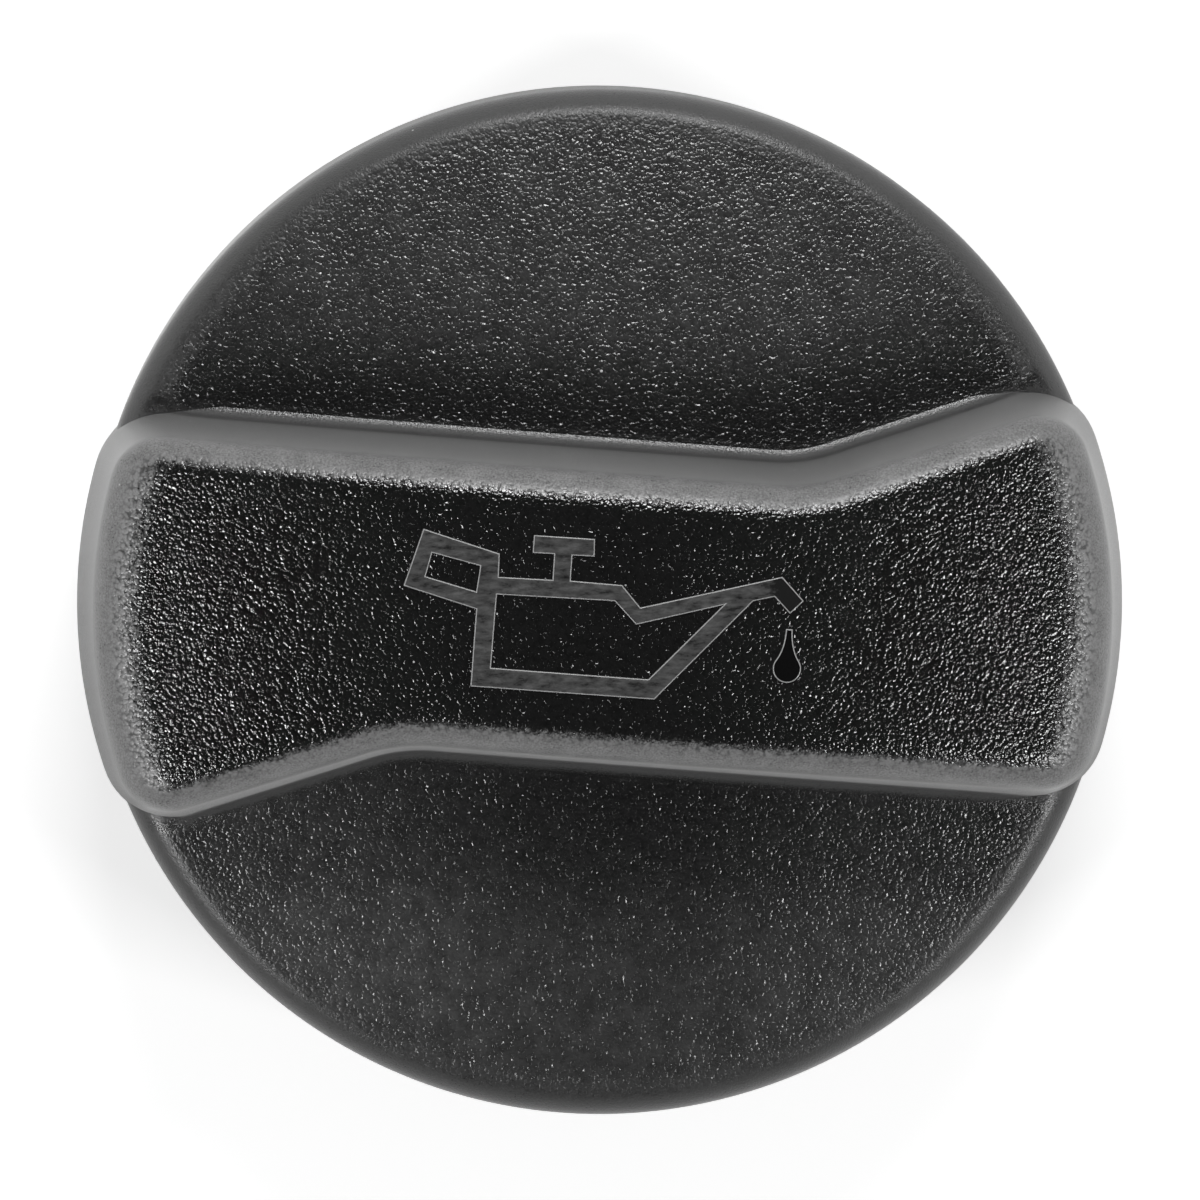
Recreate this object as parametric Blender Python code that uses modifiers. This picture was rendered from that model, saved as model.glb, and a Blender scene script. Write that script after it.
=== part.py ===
"""Engine oil filler cap: a domed shell with an S-shaped grip, a bayonet plug and a rubber seal ring.

Lengths are in metres and +Z is up. +X runs along the grip and +Y across it. The origin is the centre of
the plug's open end, on which the cap stands when it is put down.
"""

import math

import bmesh
import bpy
import numpy as np

MM = 0.001

# Clearances between pieces
SEAT_CLEARANCE = 0.3 * MM
RIM_CLEARANCE = 0.3 * MM
KEY_CLEARANCE = 0.3 * MM

# Bayonet plug
PLUG_DEPTH = 17.5 * MM
HUB_WALL = 2.2 * MM
HUB_END_CHAMFER = 0.5 * MM
HUB_ROOT_FILLET = 0.8 * MM
FLANGE_THICKNESS = 2.5 * MM
FLANGE_EDGE_ROUND = 0.4 * MM
CROSS_RIB_THICKNESS = 1.8 * MM
CROSS_RIB_RECESS = 4.0 * MM
CROSS_RIB_ANGLE = math.radians(45)
RETAINING_BEAD = 0.5 * MM
RETAINING_BEAD_HEIGHT = 1.0 * MM
KEY_HEIGHT = 6.0 * MM
KEY_WALL = 2.0 * MM

# Bayonet lugs, one at each end of the grip's axis
LUG_COUNT = 2
LUG_REACH = 4.0 * MM
LUG_THICKNESS = 3.0 * MM
LUG_END_OFFSET = 2.5 * MM
LUG_ANGLE = math.radians(56)
LUG_RAMP_RISE = 1.2 * MM
LUG_RAMP_SHARE = 0.5
LUG_TIP_ROUND = 0.6 * MM
LUG_STOP_ANGLE = math.radians(8)
LUG_STOP_SETBACK = math.radians(1.5)
LUG_STOP_HEIGHT = 3.2 * MM

# Seal ring
SEAL_THICKNESS = 3.2 * MM
SEAL_WIDTH = 7.7 * MM
SEAL_LAND_WIDTH = 3.2 * MM
SEAL_LAND_HEIGHT = 0.6 * MM
SEAL_EDGE_ROUND = 0.4 * MM

# Shell: disc and skirt, with room for the filler neck's wall between the skirt and the hub
CAP_RADIUS = 31.0 * MM
SKIRT_WALL = 2.3 * MM
NECK_ROOM = 12.2 * MM
SKIRT_DEPTH = 6.5 * MM
SKIRT_DRAFT = math.radians(1.0)
SKIRT_EDGE_ROUND = 0.6 * MM
DISC_WALL = 2.4 * MM
DOME_RISE = 1.8 * MM
RIM_FILLET = 2.0 * MM
CAVITY_FILLET = 0.8 * MM
SNAP_NIB_COUNT = 6
SNAP_NIB_REACH = 0.9 * MM
SNAP_NIB_HEIGHT = 1.8 * MM
SNAP_NIB_LEDGE = 0.5 * MM
SNAP_NIB_ANGLE = math.radians(14)

# Grip: half of its outline, which the other half repeats turned by half a turn
GRIP_HEIGHT = 12.0 * MM
GRIP_HALF_WAIST = 9.75 * MM
GRIP_EDGE_SLOPE = math.radians(-4.4)
GRIP_VALLEY_X = 11.9 * MM
GRIP_VALLEY_RADIUS = 9.5 * MM
GRIP_FLANK_SLOPE = math.radians(17.4)
GRIP_WIDE_CORNER_RADIUS = 4.4 * MM
GRIP_TIP_CORNER_RADIUS = 4.3 * MM
GRIP_END_PROUD = 0.4 * MM
GRIP_TAPER = 1.25 * MM
GRIP_EDGE_RADIUS = 2.2 * MM
GRIP_CROWN = 4.0 * MM
GRIP_WALL = 2.4 * MM
GRIP_CORE_STEP = 0.5 * MM
MIN_CORNER_RADIUS = 0.8 * MM

# Levels and radii that follow from the sizes above
CAVITY_RADIUS = CAP_RADIUS - SKIRT_WALL
FLANGE_RADIUS = CAVITY_RADIUS - RIM_CLEARANCE
HUB_RADIUS = CAVITY_RADIUS - NECK_ROOM
DOME_SPHERE = (CAP_RADIUS**2 + DOME_RISE**2) / (2 * DOME_RISE)
SEAT_LEVEL = PLUG_DEPTH
FLANGE_TOP = SEAT_LEVEL + FLANGE_THICKNESS
CEILING_EDGE = FLANGE_TOP + SEAT_CLEARANCE
DOME_TOP = CEILING_EDGE + DISC_WALL + DOME_SPHERE - math.sqrt(DOME_SPHERE**2 - FLANGE_RADIUS**2)
RIM_LEVEL = DOME_TOP - DOME_RISE
GRIP_TOP = DOME_TOP + GRIP_HEIGHT
GRIP_ROOT = RIM_LEVEL - RIM_FILLET
SKIRT_BOTTOM = SEAT_LEVEL - SKIRT_DEPTH
HUB_BORE = HUB_RADIUS - HUB_WALL
SEAL_TOP = SEAT_LEVEL - SEAT_CLEARANCE
SEAL_BORE = HUB_RADIUS + SEAT_CLEARANCE
SEAL_RADIUS = SEAL_BORE + SEAL_WIDTH
GRIP_END_RADIUS = CAP_RADIUS + GRIP_END_PROUD
CORE_END_RADIUS = CAVITY_RADIUS - GRIP_CORE_STEP
CORE_EDGE_RADIUS = max(GRIP_EDGE_RADIUS - GRIP_WALL, MIN_CORNER_RADIUS)
OVERLAP = 0.4 * MM
MERGE_DISTANCE = 0.001 * MM
CORE_ROOT = CEILING_EDGE + OVERLAP

# Facets
TURN_STEPS = 72
DOME_STEPS = 5
ROUND_STEPS = 6
CORNER_STEPS = 4
EDGE_STEPS = 2
LONG_EDGE_STEPS = 12
FLANK_STEPS = 4
END_STEPS = 10
LUG_STEPS = 10
TOP_RINGS = 3
SHARP_EDGE = math.radians(35)


def clear_scene():
    for obj in list(bpy.data.objects):
        bpy.data.objects.remove(obj, do_unlink=True)


def new_collection(name):
    collection = bpy.data.collections.new(name)
    bpy.context.scene.collection.children.link(collection)
    return collection


def plastic(name, colour, roughness):
    """A plain Principled material."""
    material = bpy.data.materials.new(name)
    material.use_nodes = True
    shader = material.node_tree.nodes["Principled BSDF"]
    shader.inputs["Base Color"].default_value = (*colour, 1.0)
    shader.inputs["Roughness"].default_value = roughness
    shader.inputs["Metallic"].default_value = 0.0
    return material


def add_object(name, mesh, collection, material=None):
    obj = bpy.data.objects.new(name, mesh)
    collection.objects.link(obj)
    if material:
        mesh.materials.append(material)
    return obj


def mark_cutter(obj):
    obj.hide_render = True
    obj.display_type = "WIRE"
    return obj


def weld(bm):
    """Joins points that lie together and drops the slivers that this leaves."""
    bmesh.ops.remove_doubles(bm, verts=bm.verts, dist=MERGE_DISTANCE)
    bmesh.ops.dissolve_degenerate(bm, edges=bm.edges, dist=MERGE_DISTANCE)


def settle(obj):
    """Turns an object's modifiers into its own mesh, smooth but for its edges."""
    evaluated = obj.evaluated_get(bpy.context.evaluated_depsgraph_get())
    mesh = bpy.data.meshes.new_from_object(evaluated)
    bm = bmesh.new()
    bm.from_mesh(mesh)
    weld(bm)
    bm.to_mesh(mesh)
    bm.free()
    obj.modifiers.clear()
    obj.data = mesh
    mesh.shade_smooth()
    mesh.set_sharp_from_angle(angle=SHARP_EDGE)


def combine(obj, operand, operation):
    modifier = obj.modifiers.new(f"{operation.lower()} {operand.name}", "BOOLEAN")
    modifier.operation = operation
    modifier.solver = "EXACT"
    modifier.object = operand


def arc(centre, radius, start, end, steps):
    """Points on a circle from the start angle to the end angle, both ends included."""
    angles = np.linspace(start, end, steps + 1)
    return [(centre[0] + radius * math.cos(a), centre[1] + radius * math.sin(a)) for a in angles]


def rounded(corners):
    """A line through corners (x, z, radius), each corner that has a radius replaced by an arc."""
    points = []
    for i, (x, z, radius) in enumerate(corners):
        if radius == 0:
            points.append((x, z))
            continue
        here = np.array((x, z))
        back = np.array(corners[i - 1][:2]) - here
        ahead = np.array(corners[(i + 1) % len(corners)][:2]) - here
        back /= np.linalg.norm(back)
        ahead /= np.linalg.norm(ahead)
        half_angle = math.acos(np.clip(back @ ahead, -1, 1)) / 2
        middle = (back + ahead) / np.linalg.norm(back + ahead)
        centre = here + middle * radius / math.sin(half_angle)
        first = here + back * radius / math.tan(half_angle) - centre
        last = here + ahead * radius / math.tan(half_angle) - centre
        start = math.atan2(first[1], first[0])
        turn = math.atan2(last[1], last[0]) - start
        turn = (turn + math.pi) % (2 * math.pi) - math.pi
        points += arc(centre, radius, start, start + turn, EDGE_STEPS)
    return points


def turned(name, profile, collection, material=None, closed=False):
    """A solid turned about Z from a profile of (radius, height) points that runs down its outer side."""
    mesh = bpy.data.meshes.new(name)
    edges = [(i, i + 1) for i in range(len(profile) - 1)]
    if closed:
        edges.append((len(profile) - 1, 0))
    mesh.from_pydata([(x, 0, z) for x, z in profile], edges, [])
    obj = add_object(name, mesh, collection, material)
    screw = obj.modifiers.new("turn", "SCREW")
    screw.axis = "Z"
    screw.steps = TURN_STEPS
    screw.render_steps = TURN_STEPS
    screw.use_merge_vertices = True
    screw.merge_threshold = MERGE_DISTANCE
    return obj


def swept_sector(name, section_at, starts, angle, steps, collection):
    """Blocks swept about Z. section_at(t) gives the (radius, height) corners at a share t of the sweep."""
    bm = bmesh.new()
    for start in starts:
        rings = []
        for t in np.linspace(0, 1, steps + 1):
            a = start + t * angle
            ring = [bm.verts.new((r * math.cos(a), r * math.sin(a), z)) for r, z in section_at(t)]
            rings.append(ring)
        for one, two in zip(rings, rings[1:]):
            for i in range(len(one)):
                j = (i + 1) % len(one)
                bm.faces.new((one[i], one[j], two[j], two[i]))
        bm.faces.new(rings[0])
        bm.faces.new(rings[-1])
    bmesh.ops.recalc_face_normals(bm, faces=bm.faces)
    mesh = bpy.data.meshes.new(name)
    bm.to_mesh(mesh)
    bm.free()
    return mark_cutter(add_object(name, mesh, collection))


def dome_height(radius, top):
    """Height of a shallow spherical dome that falls by DOME_RISE from its top to the cap's edge."""
    return top - DOME_SPHERE + math.sqrt(DOME_SPHERE**2 - radius**2)


def dome_line(top, edge_radius):
    return [(r, dome_height(r, top)) for r in np.linspace(0, edge_radius, DOME_STEPS + 1)]


def disc_profile():
    """Outside of the disc and skirt: dome, rim fillet tangent to both, drafted wall and flat lower edge."""
    dome_centre = np.array((0.0, DOME_TOP - DOME_SPHERE))
    out = np.array((math.cos(SKIRT_DRAFT), math.sin(SKIRT_DRAFT)))
    up = np.array((-out[1], out[0]))
    reach = (np.array((CAP_RADIUS, SKIRT_BOTTOM)) - dome_centre) @ out - RIM_FILLET
    rise = math.sqrt((DOME_SPHERE - RIM_FILLET) ** 2 - reach**2)
    fillet_centre = dome_centre + out * reach + up * rise
    away = fillet_centre - dome_centre
    fillet = arc(fillet_centre, RIM_FILLET, math.atan2(away[1], away[0]), SKIRT_DRAFT, ROUND_STEPS)
    lower = rounded([
        (*fillet[-1], 0),
        (CAP_RADIUS, SKIRT_BOTTOM, SKIRT_EDGE_ROUND),
        (0, SKIRT_BOTTOM, 0),
    ])
    return dome_line(DOME_TOP, fillet[0][0])[:-1] + fillet + lower[1:]


def cavity_profile():
    """Inside of the disc and skirt, one wall below the dome and one wall inside the skirt."""
    ceiling = dome_line(DOME_TOP - DISC_WALL, CAVITY_RADIUS - CAVITY_FILLET)
    below = SKIRT_BOTTOM - OVERLAP
    side = rounded([
        (*ceiling[-1], 0),
        (CAVITY_RADIUS, dome_height(CAVITY_RADIUS, DOME_TOP - DISC_WALL), CAVITY_FILLET / 2),
        (CAVITY_RADIUS, below, 0),
    ])
    return ceiling + side[1:] + [(0, below)]


def grip_outline(inset, end_radius):
    """The S-shaped outline, moved inwards by inset, with its ends on a circle of end_radius.

    Returns the points clockwise from the left end's upper corner, and for each of them its place along the
    grip's spine, from -1 at the left end to 1 at the right end.
    """
    wide = max(GRIP_WIDE_CORNER_RADIUS - inset, MIN_CORNER_RADIUS)
    tip = max(GRIP_TIP_CORNER_RADIUS - inset, MIN_CORNER_RADIUS)
    valley = GRIP_VALLEY_RADIUS + inset
    long_out = np.array((-math.sin(GRIP_EDGE_SLOPE), math.cos(GRIP_EDGE_SLOPE)))
    flank_out = np.array((-math.sin(GRIP_FLANK_SLOPE), math.cos(GRIP_FLANK_SLOPE)))
    valley_y = GRIP_HALF_WAIST + GRIP_VALLEY_X * math.tan(GRIP_EDGE_SLOPE)
    corner = np.array((GRIP_VALLEY_X, valley_y))
    long_at = corner @ long_out - inset
    flank_at = corner @ flank_out - inset

    def end_corner(out, at, radius, side):
        """Centre of the arc that touches an edge and the end circle from inside."""
        along = np.array((out[1], -out[0]))
        reach = math.sqrt((end_radius - radius) ** 2 - (at - radius) ** 2)
        return out * (at - radius) + along * reach * side

    wide_centre = end_corner(long_out, long_at, wide, -1)
    tip_centre = end_corner(flank_out, flank_at, tip, 1)
    valley_centre = np.linalg.solve(
        np.array((long_out, flank_out)), np.array((long_at + valley, flank_at + valley))
    )
    long_angle = math.atan2(long_out[1], long_out[0])
    flank_angle = math.atan2(flank_out[1], flank_out[0])
    wide_end = math.atan2(wide_centre[1], wide_centre[0])
    tip_end = math.atan2(tip_centre[1], tip_centre[0])

    def straight(start, end, steps):
        return [tuple(p) for p in np.linspace(start, end, steps + 1)[1:-1]]

    long_start = wide_centre + long_out * wide
    long_end = valley_centre - long_out * valley
    flank_start = valley_centre - flank_out * valley
    flank_end = tip_centre + flank_out * tip
    top_edge = (
        arc(wide_centre, wide, wide_end, long_angle, CORNER_STEPS)
        + straight(long_start, long_end, LONG_EDGE_STEPS)
        + arc(valley_centre, valley, long_angle + math.pi, flank_angle + math.pi, CORNER_STEPS)
        + straight(flank_start, flank_end, FLANK_STEPS)
        + arc(tip_centre, tip, flank_angle, tip_end, CORNER_STEPS)
    )
    right_end = arc((0, 0), end_radius, tip_end, wide_end - math.pi, END_STEPS)[1:-1]
    half = np.array(top_edge + right_end)
    along = list(np.linspace(-1, 1, len(top_edge))) + [1.0] * len(right_end)
    points = np.vstack((half, -half))
    return points, np.array(along + [-a for a in along])


def crown_height(x, top):
    """Height of the grip's top, which falls by GRIP_CROWN from its middle to the cap's edge."""
    return top - GRIP_CROWN * (x / CAP_RADIUS) ** 2


def grip_solid(name, collection, base, root, inset, end_radius, top, edge_radius, edge_steps):
    """A tapered S-shaped block with a crowned top and a rounded upper edge, lofted ring by ring."""
    draft = GRIP_TAPER / (GRIP_TOP - GRIP_EDGE_RADIUS - GRIP_ROOT)
    rings = []

    def add_ring(shift, height_of):
        points, _ = grip_outline(inset + shift, end_radius - shift)
        rings.append([(x, y, height_of(x)) for x, y in points])

    add_ring(0, lambda x: base)
    add_ring(0, lambda x: root)
    for angle in np.linspace(math.atan(draft), math.pi / 2, edge_steps + 1):
        shift = GRIP_TAPER + edge_radius * (math.cos(math.atan(draft)) - math.cos(angle))
        drop = edge_radius * (1 - math.sin(angle))
        add_ring(shift, lambda x, drop=drop: crown_height(x, top) - drop)

    rim = np.array(rings[-1])
    _, along = grip_outline(inset, end_radius)
    spine_x = along * (end_radius - GRIP_HALF_WAIST - inset - edge_radius)
    for share in np.linspace(0, 1, TOP_RINGS + 1)[1:]:
        x = rim[:, 0] + (spine_x - rim[:, 0]) * share
        y = rim[:, 1] * (1 - share)
        rings.append(np.column_stack((x, y, crown_height(x, top))).tolist())

    bm = bmesh.new()
    loops = [[bm.verts.new(p) for p in ring] for ring in rings]
    count = len(loops[0])
    for lower, upper in zip(loops, loops[1:]):
        for i in range(count):
            j = (i + 1) % count
            bm.faces.new((lower[i], lower[j], upper[j], upper[i]))
    bm.faces.new(loops[0])
    weld(bm)
    bmesh.ops.recalc_face_normals(bm, faces=bm.faces)
    mesh = bpy.data.meshes.new(name)
    bm.to_mesh(mesh)
    bm.free()
    return mark_cutter(add_object(name, mesh, collection))


def evenly_spaced(count, width):
    """Start angles of blocks of an angular width, the first one centred on +X."""
    return [2 * math.pi * k / count - width / 2 for k in range(count)]


def build_shell(collection, cutters):
    """Domed disc, skirt and hollow grip, with the nibs that snap under the plug's flange."""
    black = plastic("glass_filled_nylon_black", (0.017, 0.017, 0.017), 0.55)
    shell = turned("cap_shell", disc_profile(), collection, black)
    grip = grip_solid(
        "grip_outside", cutters, SKIRT_BOTTOM + SKIRT_EDGE_ROUND, GRIP_ROOT,
        0, GRIP_END_RADIUS, GRIP_TOP, GRIP_EDGE_RADIUS, ROUND_STEPS,
    )
    cavity = mark_cutter(turned("cavity", cavity_profile(), cutters))
    core = grip_solid(
        "grip_core", cutters, CEILING_EDGE - OVERLAP, CORE_ROOT,
        GRIP_WALL, CORE_END_RADIUS, GRIP_TOP - GRIP_WALL, CORE_EDGE_RADIUS, EDGE_STEPS,
    )
    nib_top = SEAT_LEVEL - SEAT_CLEARANCE
    nib_inner = CAVITY_RADIUS - SNAP_NIB_REACH
    nib_outer = CAVITY_RADIUS + OVERLAP
    nib_slope = (SNAP_NIB_HEIGHT - SNAP_NIB_LEDGE) / SNAP_NIB_REACH

    def nib_section(t):
        return [
            (nib_outer, nib_top - SNAP_NIB_HEIGHT - OVERLAP * nib_slope),
            (nib_inner, nib_top - SNAP_NIB_LEDGE),
            (nib_inner, nib_top),
            (nib_outer, nib_top),
        ]

    starts = [a + math.pi / SNAP_NIB_COUNT for a in evenly_spaced(SNAP_NIB_COUNT, SNAP_NIB_ANGLE)]
    nibs = swept_sector("snap_nibs", nib_section, starts, SNAP_NIB_ANGLE, CORNER_STEPS, cutters)
    combine(shell, grip, "UNION")
    combine(shell, cavity, "DIFFERENCE")
    combine(shell, core, "DIFFERENCE")
    combine(shell, nibs, "UNION")
    settle(shell)


def core_inset(height):
    """How far the grip's hollow has drawn in from the outline at a height, where it tapers fastest."""
    lowest_top = crown_height(CAP_RADIUS, GRIP_TOP - GRIP_WALL) - CORE_EDGE_RADIUS
    return GRIP_WALL + GRIP_TAPER * (height - CORE_ROOT) / (lowest_top - CORE_ROOT)


def extruded(name, outlines, bottom, top, collection):
    """A block between two heights from flat outlines, the second of which is a hole in the first."""
    curve = bpy.data.curves.new(name, "CURVE")
    curve.dimensions = "2D"
    curve.fill_mode = "BOTH"
    curve.extrude = (top - bottom) / 2
    for outline in outlines:
        spline = curve.splines.new("POLY")
        spline.points.add(len(outline) - 1)
        spline.points.foreach_set("co", [c for x, y in outline for c in (x, y, 0, 1)])
        spline.use_cyclic_u = True
    source = bpy.data.objects.new(f"{name}_curve", curve)
    collection.objects.link(source)
    source.location.z = (top + bottom) / 2
    bpy.context.view_layer.update()
    evaluated = source.evaluated_get(bpy.context.evaluated_depsgraph_get())
    mesh = bpy.data.meshes.new_from_object(evaluated)
    matrix = source.matrix_world.copy()
    bpy.data.objects.remove(source, do_unlink=True)
    bm = bmesh.new()
    bm.from_mesh(mesh)
    weld(bm)
    bmesh.ops.recalc_face_normals(bm, faces=bm.faces)
    bm.to_mesh(mesh)
    bm.free()
    block = mark_cutter(add_object(name, mesh, collection))
    block.matrix_world = matrix
    return block


def build_key(cutters):
    """The wall on the flange that fills the grip's hollow and carries the turning force."""
    top = FLANGE_TOP + KEY_HEIGHT
    inset = core_inset(top) + KEY_CLEARANCE
    end_radius = CORE_END_RADIUS - (inset - GRIP_WALL)
    outside, _ = grip_outline(inset, end_radius)
    inside, _ = grip_outline(inset + KEY_WALL, end_radius - KEY_WALL)
    return extruded("torque_key", (outside, inside), FLANGE_TOP - OVERLAP, top, cutters)


def build_cross_rib(cutters):
    """Two crossed ribs that stiffen the hub, set back from its open end."""
    half = CROSS_RIB_THICKNESS / 2
    reach = HUB_BORE + HUB_WALL / 2
    outline = []
    for k in range(4):
        turn = CROSS_RIB_ANGLE + k * math.pi / 2
        along = np.array((math.cos(turn), math.sin(turn)))
        across = np.array((-along[1], along[0]))
        outline += [along * reach - across * half, along * reach + across * half, (along + across) * half]
    return extruded("cross_rib", (outline,), CROSS_RIB_RECESS, SEAT_LEVEL + OVERLAP, cutters)


def build_plug(collection, cutters):
    """Flange, hub tube with cross ribs, torque key and two bayonet lugs with ramps and stops."""
    black = plastic("nylon_black", (0.02, 0.02, 0.02), 0.4)
    bead_middle = SEAL_TOP - SEAL_THICKNESS - SEAT_CLEARANCE - RETAINING_BEAD_HEIGHT / 2
    bead_half = RETAINING_BEAD_HEIGHT / 2
    profile = rounded([
        (0, FLANGE_TOP, 0),
        (FLANGE_RADIUS, FLANGE_TOP, FLANGE_EDGE_ROUND),
        (FLANGE_RADIUS, SEAT_LEVEL, 0),
        (HUB_RADIUS, SEAT_LEVEL, 0),
        (HUB_RADIUS, bead_middle + bead_half, 0),
        (HUB_RADIUS + RETAINING_BEAD, bead_middle, 0),
        (HUB_RADIUS, bead_middle - bead_half, 0),
        (HUB_RADIUS, HUB_END_CHAMFER, 0),
        (HUB_RADIUS - HUB_END_CHAMFER, 0, 0),
        (HUB_BORE, 0, 0),
        (HUB_BORE, SEAT_LEVEL, HUB_ROOT_FILLET),
        (0, SEAT_LEVEL, 0),
    ])
    plug = turned("bayonet_plug", profile, collection, black)

    lug_inner = HUB_RADIUS - HUB_WALL / 2
    lug_outer = HUB_RADIUS + LUG_REACH
    lug_bottom = LUG_END_OFFSET

    def lug_section(t):
        top = lug_bottom + LUG_THICKNESS - LUG_RAMP_RISE * max(0.0, 1 - t / LUG_RAMP_SHARE)
        return [
            (lug_inner, lug_bottom),
            (lug_outer - LUG_TIP_ROUND, lug_bottom),
            (lug_outer, lug_bottom + LUG_TIP_ROUND),
            (lug_outer, top - LUG_TIP_ROUND / 2),
            (lug_outer - LUG_TIP_ROUND / 2, top),
            (lug_inner, top),
        ]

    stop_top = lug_bottom + LUG_THICKNESS + LUG_STOP_HEIGHT
    stop_outer = HUB_RADIUS + LUG_REACH / 2

    def stop_section(t):
        return [
            (lug_inner, lug_bottom + LUG_TIP_ROUND),
            (stop_outer, lug_bottom + LUG_TIP_ROUND),
            (stop_outer, stop_top - LUG_TIP_ROUND),
            (stop_outer - LUG_TIP_ROUND, stop_top),
            (lug_inner, stop_top),
        ]

    lug_starts = evenly_spaced(LUG_COUNT, LUG_ANGLE)
    stop_starts = [a + LUG_ANGLE - LUG_STOP_SETBACK - LUG_STOP_ANGLE for a in lug_starts]
    lugs = swept_sector("lugs", lug_section, lug_starts, LUG_ANGLE, LUG_STEPS, cutters)
    stops = swept_sector("lug_stops", stop_section, stop_starts, LUG_STOP_ANGLE, EDGE_STEPS, cutters)
    combine(plug, lugs, "UNION")
    combine(plug, stops, "UNION")

    combine(plug, build_cross_rib(cutters), "UNION")
    combine(plug, build_key(cutters), "UNION")
    settle(plug)


def build_seal(collection):
    """Flat rubber ring with a raised land on its outer half that presses on the filler neck."""
    rubber = plastic("nitrile_rubber_black", (0.01, 0.01, 0.011), 0.7)
    bottom = SEAL_TOP - SEAL_THICKNESS
    land_bore = SEAL_RADIUS - SEAL_LAND_WIDTH
    profile = rounded([
        (SEAL_BORE, SEAL_TOP, SEAL_EDGE_ROUND),
        (SEAL_RADIUS, SEAL_TOP, SEAL_EDGE_ROUND),
        (SEAL_RADIUS, bottom, SEAL_EDGE_ROUND),
        (land_bore, bottom, SEAL_EDGE_ROUND / 2),
        (land_bore, bottom + SEAL_LAND_HEIGHT, SEAL_EDGE_ROUND / 2),
        (SEAL_BORE, bottom + SEAL_LAND_HEIGHT, SEAL_EDGE_ROUND),
    ])
    settle(turned("seal_ring", profile, collection, rubber, closed=True))


def main():
    clear_scene()
    cap = new_collection("oil_filler_cap")
    cutters = new_collection("cutters")
    build_shell(cap, cutters)
    build_plug(cap, cutters)
    build_seal(cap)


main()
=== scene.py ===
import math

import bmesh
import bpy
import numpy as np
from mathutils import Matrix, Vector
from mathutils.geometry import tessellate_polygon


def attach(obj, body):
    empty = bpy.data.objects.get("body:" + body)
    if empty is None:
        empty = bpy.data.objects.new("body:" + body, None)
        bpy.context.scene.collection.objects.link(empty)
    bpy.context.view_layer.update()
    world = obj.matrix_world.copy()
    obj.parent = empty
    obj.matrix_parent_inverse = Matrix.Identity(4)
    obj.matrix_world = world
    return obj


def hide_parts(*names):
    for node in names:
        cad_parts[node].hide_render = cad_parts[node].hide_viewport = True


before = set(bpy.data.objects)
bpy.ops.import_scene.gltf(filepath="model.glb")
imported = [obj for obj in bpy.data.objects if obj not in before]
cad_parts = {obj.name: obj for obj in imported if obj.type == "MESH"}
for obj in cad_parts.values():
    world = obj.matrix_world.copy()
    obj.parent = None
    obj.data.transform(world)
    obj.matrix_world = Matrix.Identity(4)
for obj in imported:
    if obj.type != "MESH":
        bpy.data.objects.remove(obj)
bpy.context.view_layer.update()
MM = 0.001


# Cap shell: one moulding of black glass-filled nylon, a domed disc with a skirt and a hollow S-shaped grip.
# It is injected in a steel tool whose upward faces are spark-eroded and whose walls and rounds are fine
# satin, so the grain ends in a clean line before each round.
CAP_RADIUS = 31.0 * MM
CAVITY_RADIUS = 28.7 * MM
DOME_TOP = 24.21 * MM
DOME_RISE = 1.8 * MM
DISC_WALL = 2.4 * MM
RIM_FILLET = 2.0 * MM
SKIRT_BOTTOM = 11.0 * MM
SKIRT_DRAFT = math.radians(1.0)
SKIRT_EDGE_ROUND = 0.6 * MM
CAVITY_FILLET = 0.8 * MM
GRIP_TOP = DOME_TOP + 12.0 * MM
GRIP_ROOT = DOME_TOP - DOME_RISE - RIM_FILLET
GRIP_END_RADIUS = 31.4 * MM
GRIP_HALF_WAIST = 9.75 * MM
GRIP_EDGE_SLOPE = math.radians(-4.4)
GRIP_VALLEY_X = 11.9 * MM
GRIP_VALLEY_RADIUS = 9.5 * MM
GRIP_FLANK_SLOPE = math.radians(17.4)
GRIP_WIDE_CORNER_RADIUS = 4.4 * MM
GRIP_TIP_CORNER_RADIUS = 4.3 * MM
GRIP_TAPER = 1.25 * MM
GRIP_EDGE_RADIUS = 2.2 * MM
GRIP_CROWN = 4.0 * MM
ROOT_FILLET = 0.8 * MM
ROOT_FILLET_START = math.radians(9)
ROOT_FILLET_END = 28.5 * MM
ROOT_FILLET_FADE = 3.0 * MM
GRIP_WALL = 2.4 * MM
CORE_END_RADIUS = 28.2 * MM
CORE_EDGE_RADIUS = 0.8 * MM
CORE_FOOT = 20.7 * MM
MIN_CORNER_RADIUS = 0.8 * MM
NIB_TOP = 17.2 * MM
NIB_REACH = 0.9 * MM
NIB_HEIGHT = 1.8 * MM
NIB_LEDGE = 0.5 * MM
NIB_COUNT = 6
NIB_ANGLE = math.radians(14)
OVERLAP = 0.4 * MM

DOME_SPHERE = (CAP_RADIUS**2 + DOME_RISE**2) / (2 * DOME_RISE)
TURN_STEPS = 288
DOME_STEPS = 48
RIM_STEPS = 20
CAVITY_STEPS = 12
CORNER_STEPS = 14
VALLEY_STEPS = 16
LONG_EDGE_STEPS = 72
FLANK_STEPS = 24
END_STEPS = 40
FOOT_RINGS = 6
FILLET_RINGS = 8
WALL_RINGS = 12
ROUND_RINGS = 17
TOP_RINGS = 14
NIB_STEPS = 12
SMOOTH_ANGLE = math.radians(32)
MERGE_DISTANCE = 0.0005 * MM
ON_SURFACE = 0.02 * MM

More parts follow.
